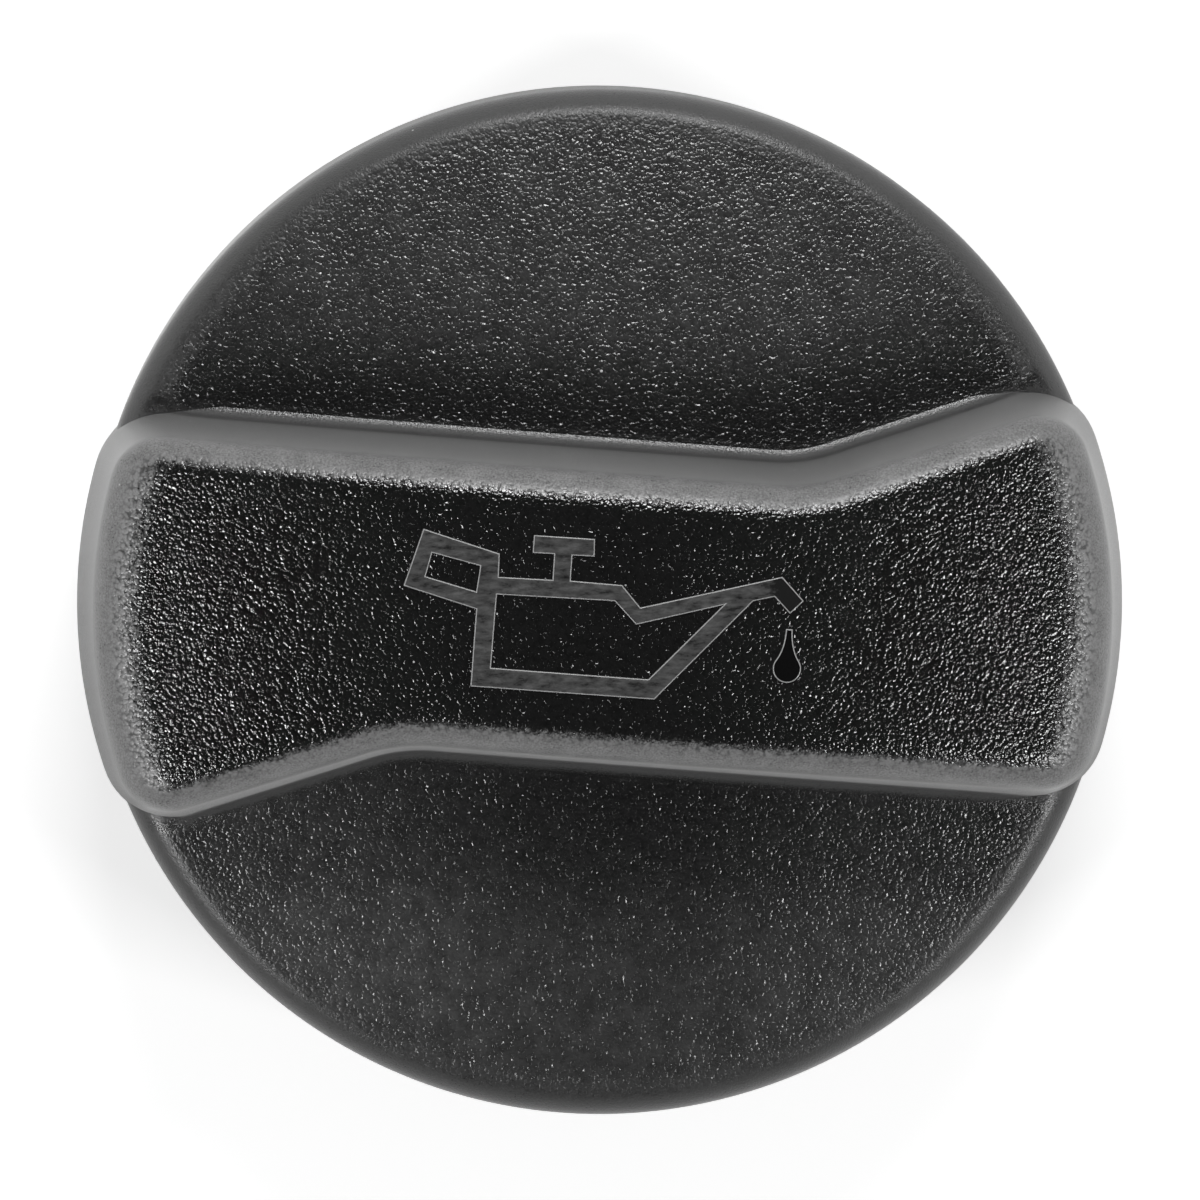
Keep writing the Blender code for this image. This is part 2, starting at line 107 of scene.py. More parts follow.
GRAIN_DISC_RADIUS = 29.5 * MM
GRAIN_DISC_FADE = 1.5 * MM
GRAIN_GRIP_INSET = 2.15 * MM
GRAIN_GRIP_FADE = 0.8 * MM
GRAIN_GRIP_END_RADIUS = 29.2 * MM
GRAIN_GRIP_END_FADE = 2.2 * MM
GRAIN_ROOT_GAP = 0.45 * MM
ROOT_LINE = 0.5 * MM
ROOT_FADE = 0.2 * MM
# Painted shade in the crease beside the grip's root:
ROOT_SHADE_REACH = 0.4 * MM
ROOT_SHADE_PEAK = 1.3
ROOT_SHADE_END = 30.5 * MM
ROOT_SHADE_END_FADE = 1.0 * MM
PEBBLE_SIZE = 0.23 * MM
WANDER_SIZE = PEBBLE_SIZE / 0.7
BORDER_WANDER = 0.5
RELIEF_BORDER = (-0.2, 0.6)
BLACK_WANDER = 0.8
BLACK_DITHER = 1.2
BLACK_BORDER = (0.9, 1.6)
PEBBLE_DEPTH = 0.033 * MM
PEBBLE_BEND = 0.8
ROLL_SIZE = PEBBLE_SIZE / 0.6
PEBBLE_ROLL = 1.2
# Painted shade in the pits between the pebbles, and lighter crests:
PIT_HEIGHT = 1.3
CREST_HEIGHT = 0.6
PEBBLE_SHADE = (0.25, 1.5)
LIT_PEBBLE_SHADE = (0.8, 1.15)
GRAIN_BLACK = "#090909"
GRAIN_LIT = "#4c4c4c"
GRIP_GRAIN_ROUGHNESS = 0.14
DISC_GRAIN_ROUGHNESS = 0.2
GRIP_GLOSS_BORDER = 0.05
SATIN_GRAIN_SIZE = PEBBLE_SIZE / 2
SATIN_GRAIN_DEPTH = 0.03 * MM
SATIN_UNDER_PEBBLES = 0.4
SATIN_RIM = "#242424"
# The grip's satin tint is lighter than the rim's: painted sheen, fading out towards the wall's foot.
SATIN_GRIP_SHEEN = "#6a6a6a"
SATIN_ROUGHNESS = (0.26, 0.46)
SATIN_SHEEN = 0.45
SHEEN_ROUGHNESS = 0.42
GRIP_SHEEN_START = 0.4
GRIP_SHEEN_FULL = 1.7
CLOUD_SIZE = 1.4 * MM
MOTTLE_CLOUD = 0.4
MOTTLE_SPAN = (0.45, 0.95)
MOTTLE_SHADE = (0.3, 1.7)
# Painted light on the open disc's grain, with the grip's painted shadow left black beside it:
GRIP_SHADOW_UPPER_REACH = 9.0 * MM
GRIP_SHADOW_LOWER_REACH = 17.0 * MM
OPEN_DISC_LIGHT = 0.36
LIGHT_POOLS = ((-19.0 * MM, -17.0 * MM, 9.0 * MM, 0.42), (18.0 * MM, -18.0 * MM, 8.0 * MM, 0.22))
LIGHT_BREAKUP_SPAN = (0.3, 0.7)
LIGHT_BREAKUP_SHARE = (0.7, 1.3)
LIT_FILM_FULL = 0.4
DUST_SPACING = 3.2 * MM
DUST_RADIUS = 0.1 * MM
DUST_CORE_RADIUS = 0.07 * MM
DUST_TINT = "#c2c2c2"
NYLON_IOR = 1.53
NYLON_SPECULAR = 0.9


def linear(code):
    """Linear colour of an sRGB hex code: (c + 0.055) / 1.055 to the power 2.4, or c / 12.92 when dark."""
    srgb = np.array([int(code[i:i + 2], 16) for i in (1, 3, 5)]) / 255
    bright = ((srgb + 0.055) / 1.055) ** 2.4
    return (*np.where(srgb <= 0.04045, srgb / 12.92, bright), 1.0)


def add_node(tree, kind, inputs=None, **settings):
    """Adds a node, sets its properties, and gives each named input a value or a link from a socket."""
    node = tree.nodes.new(kind)
    for name, value in settings.items():
        setattr(node, name, value)
    for name, value in (inputs or {}).items():
        if isinstance(value, bpy.types.NodeSocket):
            tree.links.new(value, node.inputs[name])
        else:
            node.inputs[name].default_value = value
    return node


def new_material(name):
    """A material with its Principled shader and a socket that gives the piece's own metres."""
    material = bpy.data.materials.new(name)
    material.use_nodes = True
    tree = material.node_tree
    place = add_node(tree, "ShaderNodeTexCoord").outputs["Object"]
    return material, tree, tree.nodes["Principled BSDF"], place


def arc(centre, radius, start, end, steps):
    """Points at centre + radius * (cos a, sin a) for even angles a from start to end, both included."""
    angle = np.linspace(start, end, steps + 1)
    return np.column_stack((centre[0] + radius * np.cos(angle), centre[1] + radius * np.sin(angle)))


def grid_object(name, grid, material=None):
    """A mesh from rows of points, each row a closed ring: every four neighbours make one face.

    A first or last ring drawn together to a point becomes a pole, any other one is closed by one face.
    """
    rows, count = grid.shape[:2]
    index = np.arange(rows * count).reshape(rows, count)
    ahead = np.roll(index, -1, axis=1)
    quads = np.stack((index[:-1], ahead[:-1], ahead[1:], index[1:]), axis=-1).reshape(-1, 4)
    mesh = bpy.data.meshes.new(name)
    mesh.from_pydata(grid.reshape(-1, 3).tolist(), [], quads.tolist())
    bm = bmesh.new()
    bm.from_mesh(mesh)
    bmesh.ops.remove_doubles(bm, verts=bm.verts, dist=MERGE_DISTANCE)
    bmesh.ops.holes_fill(bm, edges=[e for e in bm.edges if e.is_boundary], sides=0)
    bmesh.ops.recalc_face_normals(bm, faces=bm.faces)
    bm.to_mesh(mesh)
    bm.free()
    mesh.shade_smooth()
    obj = bpy.data.objects.new(name, mesh)
    bpy.context.scene.collection.objects.link(obj)
    if material:
        mesh.materials.append(material)
    return obj


def turned(name, profile, material=None):
    """A profile of (radius, height) points turned about Z: x = r cos a, y = r sin a for even angles a."""
    angle = np.linspace(0, 2 * math.pi, TURN_STEPS, endpoint=False)
    radius, height = profile[:, :1], profile[:, 1:]
    grid = np.stack(np.broadcast_arrays(radius * np.cos(angle), radius * np.sin(angle), height), axis=-1)
    return grid_object(name, grid, material)


def swept(name, section, angles):
    """A closed section of (radius, height) points carried round Z over the angles, closed at both ends."""
    section = np.broadcast_to(section, (len(angles), *np.shape(section)[-2:]))
    angle = angles[:, None]
    radius, height = section[..., 0], section[..., 1]
    return grid_object(name, np.stack((radius * np.cos(angle), radius * np.sin(angle), height), axis=-1))


def rounded(corners, steps=6):
    """A line through corners (x, z, radius), where each corner with a radius becomes a tangent arc."""
    points = []
    for i, (x, z, radius) in enumerate(corners):
        here = np.array((x, z))
        if radius == 0:
            points.append(here[None])
            continue
        back = np.array(corners[i - 1][:2]) - here
        ahead = np.array(corners[(i + 1) % len(corners)][:2]) - here
        back, ahead = back / np.linalg.norm(back), ahead / np.linalg.norm(ahead)
        half = math.acos(np.clip(back @ ahead, -1, 1)) / 2
        centre = here + (back + ahead) / np.linalg.norm(back + ahead) * radius / math.sin(half)
        first, last = (here + d * radius / math.tan(half) - centre for d in (back, ahead))
        start = math.atan2(first[1], first[0])
        turn = (math.atan2(last[1], last[0]) - start + math.pi) % (2 * math.pi) - math.pi
        points.append(arc(centre, radius, start, start + turn, steps))
    return np.vstack(points)


def dome_line(top, edge_radius, steps=DOME_STEPS):
    """Points (r, z) on a sphere of DOME_SPHERE below top: z = top - R + sqrt(R^2 - r^2)."""
    radius = np.linspace(0, edge_radius, steps + 1)
    return np.column_stack((radius, top - DOME_SPHERE + np.sqrt(DOME_SPHERE**2 - radius**2)))


def disc_profile():
    """Dome, rim fillet tangent to the dome and to the drafted skirt, skirt, and rounded lower edge."""
    dome_centre = np.array((0.0, DOME_TOP - DOME_SPHERE))
    out = np.array((math.cos(SKIRT_DRAFT), math.sin(SKIRT_DRAFT)))
    up = np.array((-out[1], out[0]))
    reach = (np.array((CAP_RADIUS, SKIRT_BOTTOM)) - dome_centre) @ out - RIM_FILLET
    rise = math.sqrt((DOME_SPHERE - RIM_FILLET) ** 2 - reach**2)
    centre = dome_centre + out * reach + up * rise
    away = centre - dome_centre
    fillet = arc(centre, RIM_FILLET, math.atan2(away[1], away[0]), SKIRT_DRAFT, RIM_STEPS)
    lower = rounded([(*fillet[-1], 0), (CAP_RADIUS, SKIRT_BOTTOM, SKIRT_EDGE_ROUND), (0, SKIRT_BOTTOM, 0)])
    return np.vstack((dome_line(DOME_TOP, fillet[0][0])[:-1], fillet, lower[1:]))


def cavity_profile():
    """The hollow under the disc: the dome one wall lower, a rounded corner, and a straight side."""
    ceiling = dome_line(DOME_TOP - DISC_WALL, CAVITY_RADIUS - CAVITY_FILLET, CAVITY_STEPS)
    drop = DOME_SPHERE - math.sqrt(DOME_SPHERE**2 - CAVITY_RADIUS**2)
    below = SKIRT_BOTTOM - OVERLAP
    side = rounded([
        (*ceiling[-1], 0),
        (CAVITY_RADIUS, DOME_TOP - DISC_WALL - drop, CAVITY_FILLET / 2),
        (CAVITY_RADIUS, below, 0),
    ])
    return np.vstack((ceiling, side[1:], [(0, below)]))


def grip_outline(inset, end_radius):
    """The S-shaped outline moved inwards by inset, clockwise from the left end's upper corner.

    Half of it is a corner arc, a long edge, the valley's arc, a flank and a corner arc, all tangent, then
    an arc of the end circle. The other half is the same turned by half a turn. With every point comes its
    place along the grip's spine, from -1 at the left end to 1 at the right end.
    """
    wide = max(GRIP_WIDE_CORNER_RADIUS - inset, MIN_CORNER_RADIUS)
    tip = max(GRIP_TIP_CORNER_RADIUS - inset, MIN_CORNER_RADIUS)
    valley = GRIP_VALLEY_RADIUS + inset
    long_out = np.array((-math.sin(GRIP_EDGE_SLOPE), math.cos(GRIP_EDGE_SLOPE)))
    flank_out = np.array((-math.sin(GRIP_FLANK_SLOPE), math.cos(GRIP_FLANK_SLOPE)))
    corner = np.array((GRIP_VALLEY_X, GRIP_HALF_WAIST + GRIP_VALLEY_X * math.tan(GRIP_EDGE_SLOPE)))
    long_at = corner @ long_out - inset
    flank_at = corner @ flank_out - inset

    def end_corner(out, at, radius, side):
        """Centre of an arc that touches an edge and the end circle: it lies radius within both."""
        along = side * math.sqrt((end_radius - radius) ** 2 - (at - radius) ** 2)
        return out * (at - radius) + np.array((out[1], -out[0])) * along

    wide_centre = end_corner(long_out, long_at, wide, -1)
    tip_centre = end_corner(flank_out, flank_at, tip, 1)
    valley_centre = np.linalg.solve(
        np.array((long_out, flank_out)), np.array((long_at + valley, flank_at + valley))
    )
    long_angle = math.atan2(long_out[1], long_out[0])
    flank_angle = math.atan2(flank_out[1], flank_out[0])
    wide_end = math.atan2(wide_centre[1], wide_centre[0])
    tip_end = math.atan2(tip_centre[1], tip_centre[0])
    wide_arc = arc(wide_centre, wide, wide_end, long_angle, CORNER_STEPS)
    valley_arc = arc(valley_centre, valley, long_angle + math.pi, flank_angle + math.pi, VALLEY_STEPS)
    tip_arc = arc(tip_centre, tip, flank_angle, tip_end, CORNER_STEPS)
    edge = np.vstack((
        wide_arc,
        np.linspace(wide_arc[-1], valley_arc[0], LONG_EDGE_STEPS + 1)[1:-1],
        valley_arc,
        np.linspace(valley_arc[-1], tip_arc[0], FLANK_STEPS + 1)[1:-1],
        tip_arc,
    ))
    end = arc((0, 0), end_radius, tip_end, wide_end - math.pi, END_STEPS)[1:-1]
    half = np.vstack((edge, end))
    along = np.concatenate((np.linspace(-1, 1, len(edge)), np.ones(len(end))))
    return np.vstack((half, -half)), np.concatenate((along, -along))


def crown_height(x, top):
    """Height of the grip's top, which falls by GRIP_CROWN * (x / CAP_RADIUS)^2 from its middle."""
    return top - GRIP_CROWN * (x / CAP_RADIUS) ** 2


def dome_height(places):
    """Height of the dome over points (x, y): top - R + sqrt(R^2 - r^2)."""
    radius = np.minimum(np.linalg.norm(places[:, :2], axis=1), CAP_RADIUS)
    return DOME_TOP - DOME_SPHERE + np.sqrt(DOME_SPHERE**2 - radius**2)


def grip_solid(name, base, root, inset, end_radius, top, edge_radius, root_fillet=0.0):
    """Rings of the S outline: upright foot, root fillet, tapered wall, rounded edge and crowned top.

    Up the wall the ring moves in evenly by GRIP_TAPER. In the root fillet, at angle a from the dome, it
    stands out by r (1 - sin a) and lies r (1 - cos a) above the dome. Before ROOT_FILLET_END the fillet
    fades out, ahead of the rim. Round the edge, at angle a from level, the ring moves in by
    r (cos a0 - cos a) and lies r (1 - sin a) below the crown. Over the top it draws in to the spine.
    """
    lean = math.atan(GRIP_TAPER / (GRIP_TOP - GRIP_EDGE_RADIUS - GRIP_ROOT))

    def ring(shift):
        """The outline moved in by inset + shift, its ends on a circle that is smaller by shift."""
        return grip_outline(inset + shift, end_radius - shift)[0]

    foot = ring(0)
    rings = [np.column_stack((foot, np.full(len(foot), z))) for z in np.linspace(base, root, FOOT_RINGS)]
    shoulder = ring(GRIP_TAPER)
    shoulder_z = crown_height(shoulder[:, 0], top) - edge_radius * (1 - math.sin(lean))
    started = np.zeros(len(foot))
    if root_fillet:
        spread = np.clip((ROOT_FILLET_END - np.linalg.norm(foot, axis=1)) / ROOT_FILLET_FADE, 0, 1)
        angles = np.linspace(ROOT_FILLET_START, math.pi / 2, FILLET_RINGS)
        rises = root_fillet * (1 - np.cos(angles))
        for angle, rise in zip((angles[0], *angles), (-OVERLAP, *rises)):
            moved = (dome_height(foot) + rise - root) / (shoulder_z - root)
            moved -= root_fillet * spread * (1 - math.sin(angle)) / GRIP_TAPER
            level = foot + (shoulder - foot) * moved[:, None]
            rings.append(np.column_stack((level, dome_height(level) + rise)))
        started = (rings[-1][:, 2] - root) / (shoulder_z - root)
    for share in np.linspace(0, 1, WALL_RINGS + 1)[1:-1]:
        done = started + (1 - started) * share
        rings.append(np.column_stack((
            foot + (shoulder - foot) * done[:, None], root + (shoulder_z - root) * done,
        )))
    for angle in np.linspace(lean, math.pi / 2, ROUND_RINGS):
        level = ring(GRIP_TAPER + edge_radius * (math.cos(lean) - math.cos(angle)))
        height = crown_height(level[:, 0], top) - edge_radius * (1 - math.sin(angle))
        rings.append(np.column_stack((level, height)))
    rim = rings[-1]
    spine = grip_outline(inset, end_radius)[1] * (end_radius - GRIP_HALF_WAIST - inset - edge_radius)
    for share in np.linspace(0, 1, TOP_RINGS + 1)[1:]:
        x = rim[:, 0] + (spine - rim[:, 0]) * share
        rings.append(np.column_stack((x, rim[:, 1] * (1 - share), crown_height(x, top))))
    return grid_object(name, np.stack(rings))


def combine(obj, operand, operation):
    """Adds or cuts one solid, then drops it: the result becomes the object's own mesh."""
    modifier = obj.modifiers.new("combine", "BOOLEAN")
    modifier.operation = operation
    modifier.solver = "EXACT"
    modifier.object = operand
    evaluated = obj.evaluated_get(bpy.context.evaluated_depsgraph_get())
    mesh = bpy.data.meshes.new_from_object(evaluated)
    obj.modifiers.clear()
    obj.data = mesh
    bpy.data.objects.remove(operand, do_unlink=True)


def shade(obj):
    """Smooth shading that keeps edges sharper than SMOOTH_ANGLE crisp."""
    obj.data.shade_smooth()
    obj.data.set_sharp_from_angle(angle=SMOOTH_ANGLE)


def vertex_places(mesh):
    """The mesh's points as an array of rows (x, y, z)."""
    places = np.empty(len(mesh.vertices) * 3)
    mesh.vertices.foreach_get("co", places)
    return places.reshape(-1, 3)


def inside_distance(points, outline):
    """Signed distance from points to a closed outline, positive inside.

    The size is the least distance to any of its straight pieces. The sign comes from the number of pieces
    that a line towards +X crosses, odd for a point inside.
    """
    start, end = outline, np.roll(outline, -1, axis=0)
    step = end - start
    least = np.full(len(points), np.inf)
    inside = np.zeros(len(points), bool)
    for a, b, d in zip(start, end, step):
        share = np.clip((points - a) @ d / (d @ d), 0, 1)
        least = np.minimum(least, np.linalg.norm(points - a - share[:, None] * d, axis=1))
        crosses = (a[1] > points[:, 1]) != (b[1] > points[:, 1])
        rise = d[1] if d[1] != 0 else 1.0
        inside ^= crosses & (points[:, 0] < a[0] + (points[:, 1] - a[1]) * d[0] / rise)
    return np.where(inside, least, -least)


# Glass-filled nylon as it comes from the tool: charcoal black. Spark-eroded faces are a field of tiny
# pebbles that glint one by one, shallow at their border. Satin walls and rounds spread the light into a
# grey sheen, and the grip's satin is painted greyer still up to its upper edge, as painted sheen. The open
# disc's grain is painted grey away from the grip and in two pools, as painted light, and stays black
# beside the grip as its painted shadow. The crease at the grip's root and the pits between pebbles carry
# painted shade. A few dust specks lie on all of it. The satin's own grain is too fine to show, so it is
# drawn half as coarse as the pebbles.
def shell_nylon():
    material, tree, shader, place = new_material("nylon_glass_filled_moulded")
    edge, depth, root, film, inset = (
        add_node(tree, "ShaderNodeAttribute", attribute_name=name).outputs["Fac"]
        for name in ("grain_edge", "grain_depth", "root_shade", "painted_light_film", "grip_inset")
    )
    wander, satin, rolling, cloud = (
        add_node(tree, "ShaderNodeTexNoise", {
            "Vector": place, "Scale": 1 / size, "Detail": detail, "Roughness": roughness,
        }).outputs["Fac"]
        for size, detail, roughness in (
            (WANDER_SIZE, 1.0, 0.5), (SATIN_GRAIN_SIZE, 2.0, 0.6),
            (ROLL_SIZE, 2.0, 0.6), (CLOUD_SIZE, 4.0, 0.65),
        )
    )

    # The grain's border wanders, and the black of the grain sets in pebble by pebble.
    swing = add_node(tree, "ShaderNodeMath", {0: wander, 1: 0.5}, operation="SUBTRACT").outputs[0]
    line, sunk = (
        add_node(tree, "ShaderNodeMath", {0: swing, 1: width, 2: level}, operation="MULTIPLY_ADD").outputs[0]
        for width, level in ((BORDER_WANDER, edge), (BLACK_WANDER, depth))
    )
    grained = add_node(tree, "ShaderNodeMapRange", {
        "Value": line, "From Min": RELIEF_BORDER[0], "From Max": RELIEF_BORDER[1],
    }, interpolation_type="SMOOTHSTEP").outputs["Result"]
    dithered = add_node(tree, "ShaderNodeMath", {
        0: satin, 1: BLACK_DITHER, 2: sunk,
    }, operation="MULTIPLY_ADD").outputs[0]
    blackened = add_node(tree, "ShaderNodeMapRange", {
        "Value": dithered, "From Min": BLACK_BORDER[0], "From Max": BLACK_BORDER[1],
    }, interpolation_type="SMOOTHSTEP").outputs["Result"]
    # The root's strip is painted shade: it turns the colour to the grain's tint, black beside the grip.
    dark = add_node(tree, "ShaderNodeMath", {0: blackened, 1: root}, operation="MAXIMUM").outputs[0]

    # Pebbles: rounded cells of bent outline on gently rolling ground, over the satin's fine grain.
    stir = add_node(tree, "ShaderNodeTexNoise", {
        "Vector": place, "Scale": 1 / PEBBLE_SIZE, "Detail": 0.0,
    }).outputs["Color"]
    bent = add_node(tree, "ShaderNodeVectorMath", {
        0: stir, 1: (PEBBLE_SIZE * PEBBLE_BEND,) * 3, 2: place,
    }, operation="MULTIPLY_ADD").outputs[0]
    reach = add_node(tree, "ShaderNodeTexVoronoi", {
        "Vector": bent, "Scale": 1 / PEBBLE_SIZE,
    }, feature="F1").outputs["Distance"]
    domes = add_node(tree, "ShaderNodeMath", {0: reach, 1: 2.0}, operation="POWER").outputs[0]
    pebbles = add_node(tree, "ShaderNodeMath", {
        0: rolling, 1: PEBBLE_ROLL, 2: domes,
    }, operation="MULTIPLY_ADD").outputs[0]
    softened = add_node(tree, "ShaderNodeMapRange", {
        "Value": grained, "To Min": 1.0, "To Max": SATIN_UNDER_PEBBLES,
    }, interpolation_type="SMOOTHSTEP").outputs["Result"]
    fine = add_node(tree, "ShaderNodeBump", {
        "Height": satin, "Strength": softened, "Distance": SATIN_GRAIN_DEPTH,
    }).outputs["Normal"]
    relief = add_node(tree, "ShaderNodeMath", {0: pebbles, 1: grained}, operation="MULTIPLY").outputs[0]
    bumps = add_node(tree, "ShaderNodeBump", {
        "Height": relief, "Strength": 1.0, "Distance": -PEBBLE_DEPTH, "Normal": fine,
    }).outputs["Normal"]
    tree.links.new(bumps, shader.inputs["Normal"])

    # Tints: satin from the rim's tint to the grip's painted sheen, and grain from black to grey in patches
    # of painted light.
    grip_sheen = add_node(tree, "ShaderNodeMapRange", {
        "Value": inset, "From Min": GRIP_SHEEN_START, "From Max": GRIP_SHEEN_FULL,
    }, interpolation_type="SMOOTHSTEP").outputs["Result"]
    smooth_tint = add_node(tree, "ShaderNodeMix", {
        "Factor": grip_sheen, "A": linear(SATIN_RIM), "B": linear(SATIN_GRIP_SHEEN),
    }, data_type="RGBA").outputs["Result"]
    # The grain's tint follows the painted light film: grey where painted light falls, black in the grip's
    # painted shadow.
    light_breakup = add_node(tree, "ShaderNodeMapRange", {
        "Value": cloud, "From Min": LIGHT_BREAKUP_SPAN[0], "From Max": LIGHT_BREAKUP_SPAN[1],
        "To Min": LIGHT_BREAKUP_SHARE[0], "To Max": LIGHT_BREAKUP_SHARE[1],
    }, interpolation_type="SMOOTHSTEP").outputs["Result"]
    patchy_light = add_node(tree, "ShaderNodeMath", {0: film, 1: light_breakup}, operation="MULTIPLY").outputs[0]
    grain_tint = add_node(tree, "ShaderNodeMix", {
        "Factor": patchy_light, "A": linear(GRAIN_BLACK), "B": linear(GRAIN_LIT),
    }, data_type="RGBA").outputs["Result"]
    tint = add_node(tree, "ShaderNodeMix", {
        "Factor": dark, "A": smooth_tint, "B": grain_tint,
    }, data_type="RGBA").outputs["Result"]

    # Shade within a tint: the satin is mottled, and the pebbles get painted shade in their pits and lighter
    # crests, milder where the painted light film is thick.
    mottle = add_node(tree, "ShaderNodeMath", {
        0: cloud, 1: MOTTLE_CLOUD, 2: satin,
    }, operation="MULTIPLY_ADD").outputs[0]
    varied, satin_gloss = (
        add_node(tree, "ShaderNodeMapRange", {
            "Value": mottle, "From Min": MOTTLE_SPAN[0], "From Max": MOTTLE_SPAN[1],
            "To Min": low, "To Max": high,
        }).outputs["Result"]
        for low, high in (MOTTLE_SHADE, SATIN_ROUGHNESS)
    )
    pit, crest = (
        add_node(tree, "ShaderNodeMapRange", {
            "Value": film, "From Max": LIT_FILM_FULL, "To Min": clean, "To Max": lit_level,
        }, interpolation_type="SMOOTHSTEP").outputs["Result"]
        for clean, lit_level in zip(PEBBLE_SHADE, LIT_PEBBLE_SHADE)
    )
    pitted = add_node(tree, "ShaderNodeMapRange", {
        "Value": pebbles, "From Min": PIT_HEIGHT, "From Max": CREST_HEIGHT, "To Min": pit, "To Max": crest,
    }, interpolation_type="SMOOTHSTEP").outputs["Result"]
    shading = add_node(tree, "ShaderNodeMix", {
        "Factor": grained, "A": varied, "B": pitted,
    }, data_type="FLOAT").outputs["Result"]
    toned = add_node(tree, "ShaderNodeVectorMath", {
        0: tint, "Scale": shading,
    }, operation="SCALE").outputs[0]
    speck = add_node(tree, "ShaderNodeTexVoronoi", {
        "Vector": place, "Scale": 1 / DUST_SPACING,
    }, feature="F1").outputs["Distance"]
    dust = add_node(tree, "ShaderNodeMapRange", {
        "Value": speck, "From Min": DUST_RADIUS / DUST_SPACING, "From Max": DUST_CORE_RADIUS / DUST_SPACING,
    }, interpolation_type="SMOOTHSTEP").outputs["Result"]
    colour = add_node(tree, "ShaderNodeMix", {
        "Factor": dust, "A": toned, "B": linear(DUST_TINT),
    }, data_type="RGBA").outputs["Result"]
    tree.links.new(colour, shader.inputs["Base Color"])

    grain_gloss = add_node(tree, "ShaderNodeMapRange", {
        "Value": inset, "From Max": GRIP_GLOSS_BORDER,
        "To Min": DISC_GRAIN_ROUGHNESS, "To Max": GRIP_GRAIN_ROUGHNESS,
    }, interpolation_type="SMOOTHSTEP").outputs["Result"]
    gloss = add_node(tree, "ShaderNodeMix", {
        "Factor": dark, "A": satin_gloss, "B": grain_gloss,
    }, data_type="FLOAT").outputs["Result"]
    tree.links.new(gloss, shader.inputs["Roughness"])
    shader.inputs["IOR"].default_value = NYLON_IOR
    shader.inputs["Specular IOR Level"].default_value = NYLON_SPECULAR
    shader.inputs["Sheen Weight"].default_value = SATIN_SHEEN
    shader.inputs["Sheen Roughness"].default_value = SHEEN_ROUGHNESS
    return material


shell = turned("cap_shell_moulding", disc_profile(), shell_nylon())
combine(shell, grip_solid(
    "grip_outside", SKIRT_BOTTOM + SKIRT_EDGE_ROUND, GRIP_ROOT,
    0, GRIP_END_RADIUS, GRIP_TOP, GRIP_EDGE_RADIUS, ROOT_FILLET,
), "UNION")
combine(shell, turned("cavity", cavity_profile()), "DIFFERENCE")
combine(shell, grip_solid(
    "grip_core", CORE_FOOT - 2 * OVERLAP, CORE_FOOT,
    GRIP_WALL, CORE_END_RADIUS, GRIP_TOP - GRIP_WALL, CORE_EDGE_RADIUS,
), "DIFFERENCE")
nib_slope = (NIB_HEIGHT - NIB_LEDGE) / NIB_REACH
nib_section = (
    (CAVITY_RADIUS + OVERLAP, NIB_TOP - NIB_HEIGHT - OVERLAP * nib_slope),
    (CAVITY_RADIUS - NIB_REACH, NIB_TOP - NIB_LEDGE),
    (CAVITY_RADIUS - NIB_REACH, NIB_TOP),
    (CAVITY_RADIUS + OVERLAP, NIB_TOP),
)
for k in range(NIB_COUNT):
    start = math.pi / NIB_COUNT * (2 * k + 1) - NIB_ANGLE / 2
    nib = swept("snap_nib", nib_section, np.linspace(start, start + NIB_ANGLE, NIB_STEPS + 1))
    combine(shell, nib, "UNION")
shade(shell)

# Where each finish lies, as attributes of the points. grain_edge counts millimetres inside the grain's
# border, and grain_depth is 1 where the grain is fully black. grip_inset counts millimetres inside the
# grip's outline. root_shade is painted shade in the crease beside the grip's root, and the film attribute
# is painted light on the disc's grain: it grows away from the grip, which leaves the grip's painted shadow
# black beside it, and each pool adds an amount that thins out from its middle (x, y).
places = vertex_places(shell.data)
plan, height = places[:, :2], places[:, 2]
radius = np.linalg.norm(plan, axis=1)
grip_inset = inside_distance(plan, grip_outline(0, GRIP_END_RADIUS)[0])
on_grip = inside_distance(plan, grip_outline(GRAIN_GRIP_INSET, GRAIN_GRIP_END_RADIUS)[0])
on_disc = np.minimum(GRAIN_DISC_RADIUS - radius, -GRAIN_ROOT_GAP - grip_inset)
in_core = inside_distance(plan, grip_outline(GRIP_WALL, CORE_END_RADIUS)[0]) > -ON_SURFACE
inner = in_core & (height < crown_height(places[:, 0], GRIP_TOP - GRIP_WALL) + ON_SURFACE)
inner |= (radius < CAVITY_RADIUS + ON_SURFACE) & (height < dome_height(plan) - DISC_WALL + ON_SURFACE)
smooth = inner | (height < GRIP_ROOT + RIM_FILLET / 2)
grip_depth = np.minimum(on_grip / GRAIN_GRIP_FADE, (GRAIN_GRIP_END_RADIUS - radius) / GRAIN_GRIP_END_FADE)
past_root = -(grip_inset + ROOT_LINE) / ROOT_FADE
disc_depth = np.minimum((GRAIN_DISC_RADIUS - radius) / GRAIN_DISC_FADE, past_root)
root_shade = np.clip(ROOT_SHADE_PEAK - abs(grip_inset + ROOT_LINE) / ROOT_SHADE_REACH, 0, 1)
root_shade *= np.clip((ROOT_SHADE_END - radius) / ROOT_SHADE_END_FADE, 0, 1)
reach = np.where(places[:, 1] > 0, GRIP_SHADOW_UPPER_REACH, GRIP_SHADOW_LOWER_REACH)
share = np.clip(-grip_inset / reach, 0, 1)
painted_light_film = OPEN_DISC_LIGHT * share**2 * (3 - 2 * share)
for x, y, spread, amount in LIGHT_POOLS:
    painted_light_film += amount * np.exp(-((places[:, 0] - x) ** 2 + (places[:, 1] - y) ** 2) / (2 * spread**2))
painted_light_film *= (grip_inset < 0) & ~inner
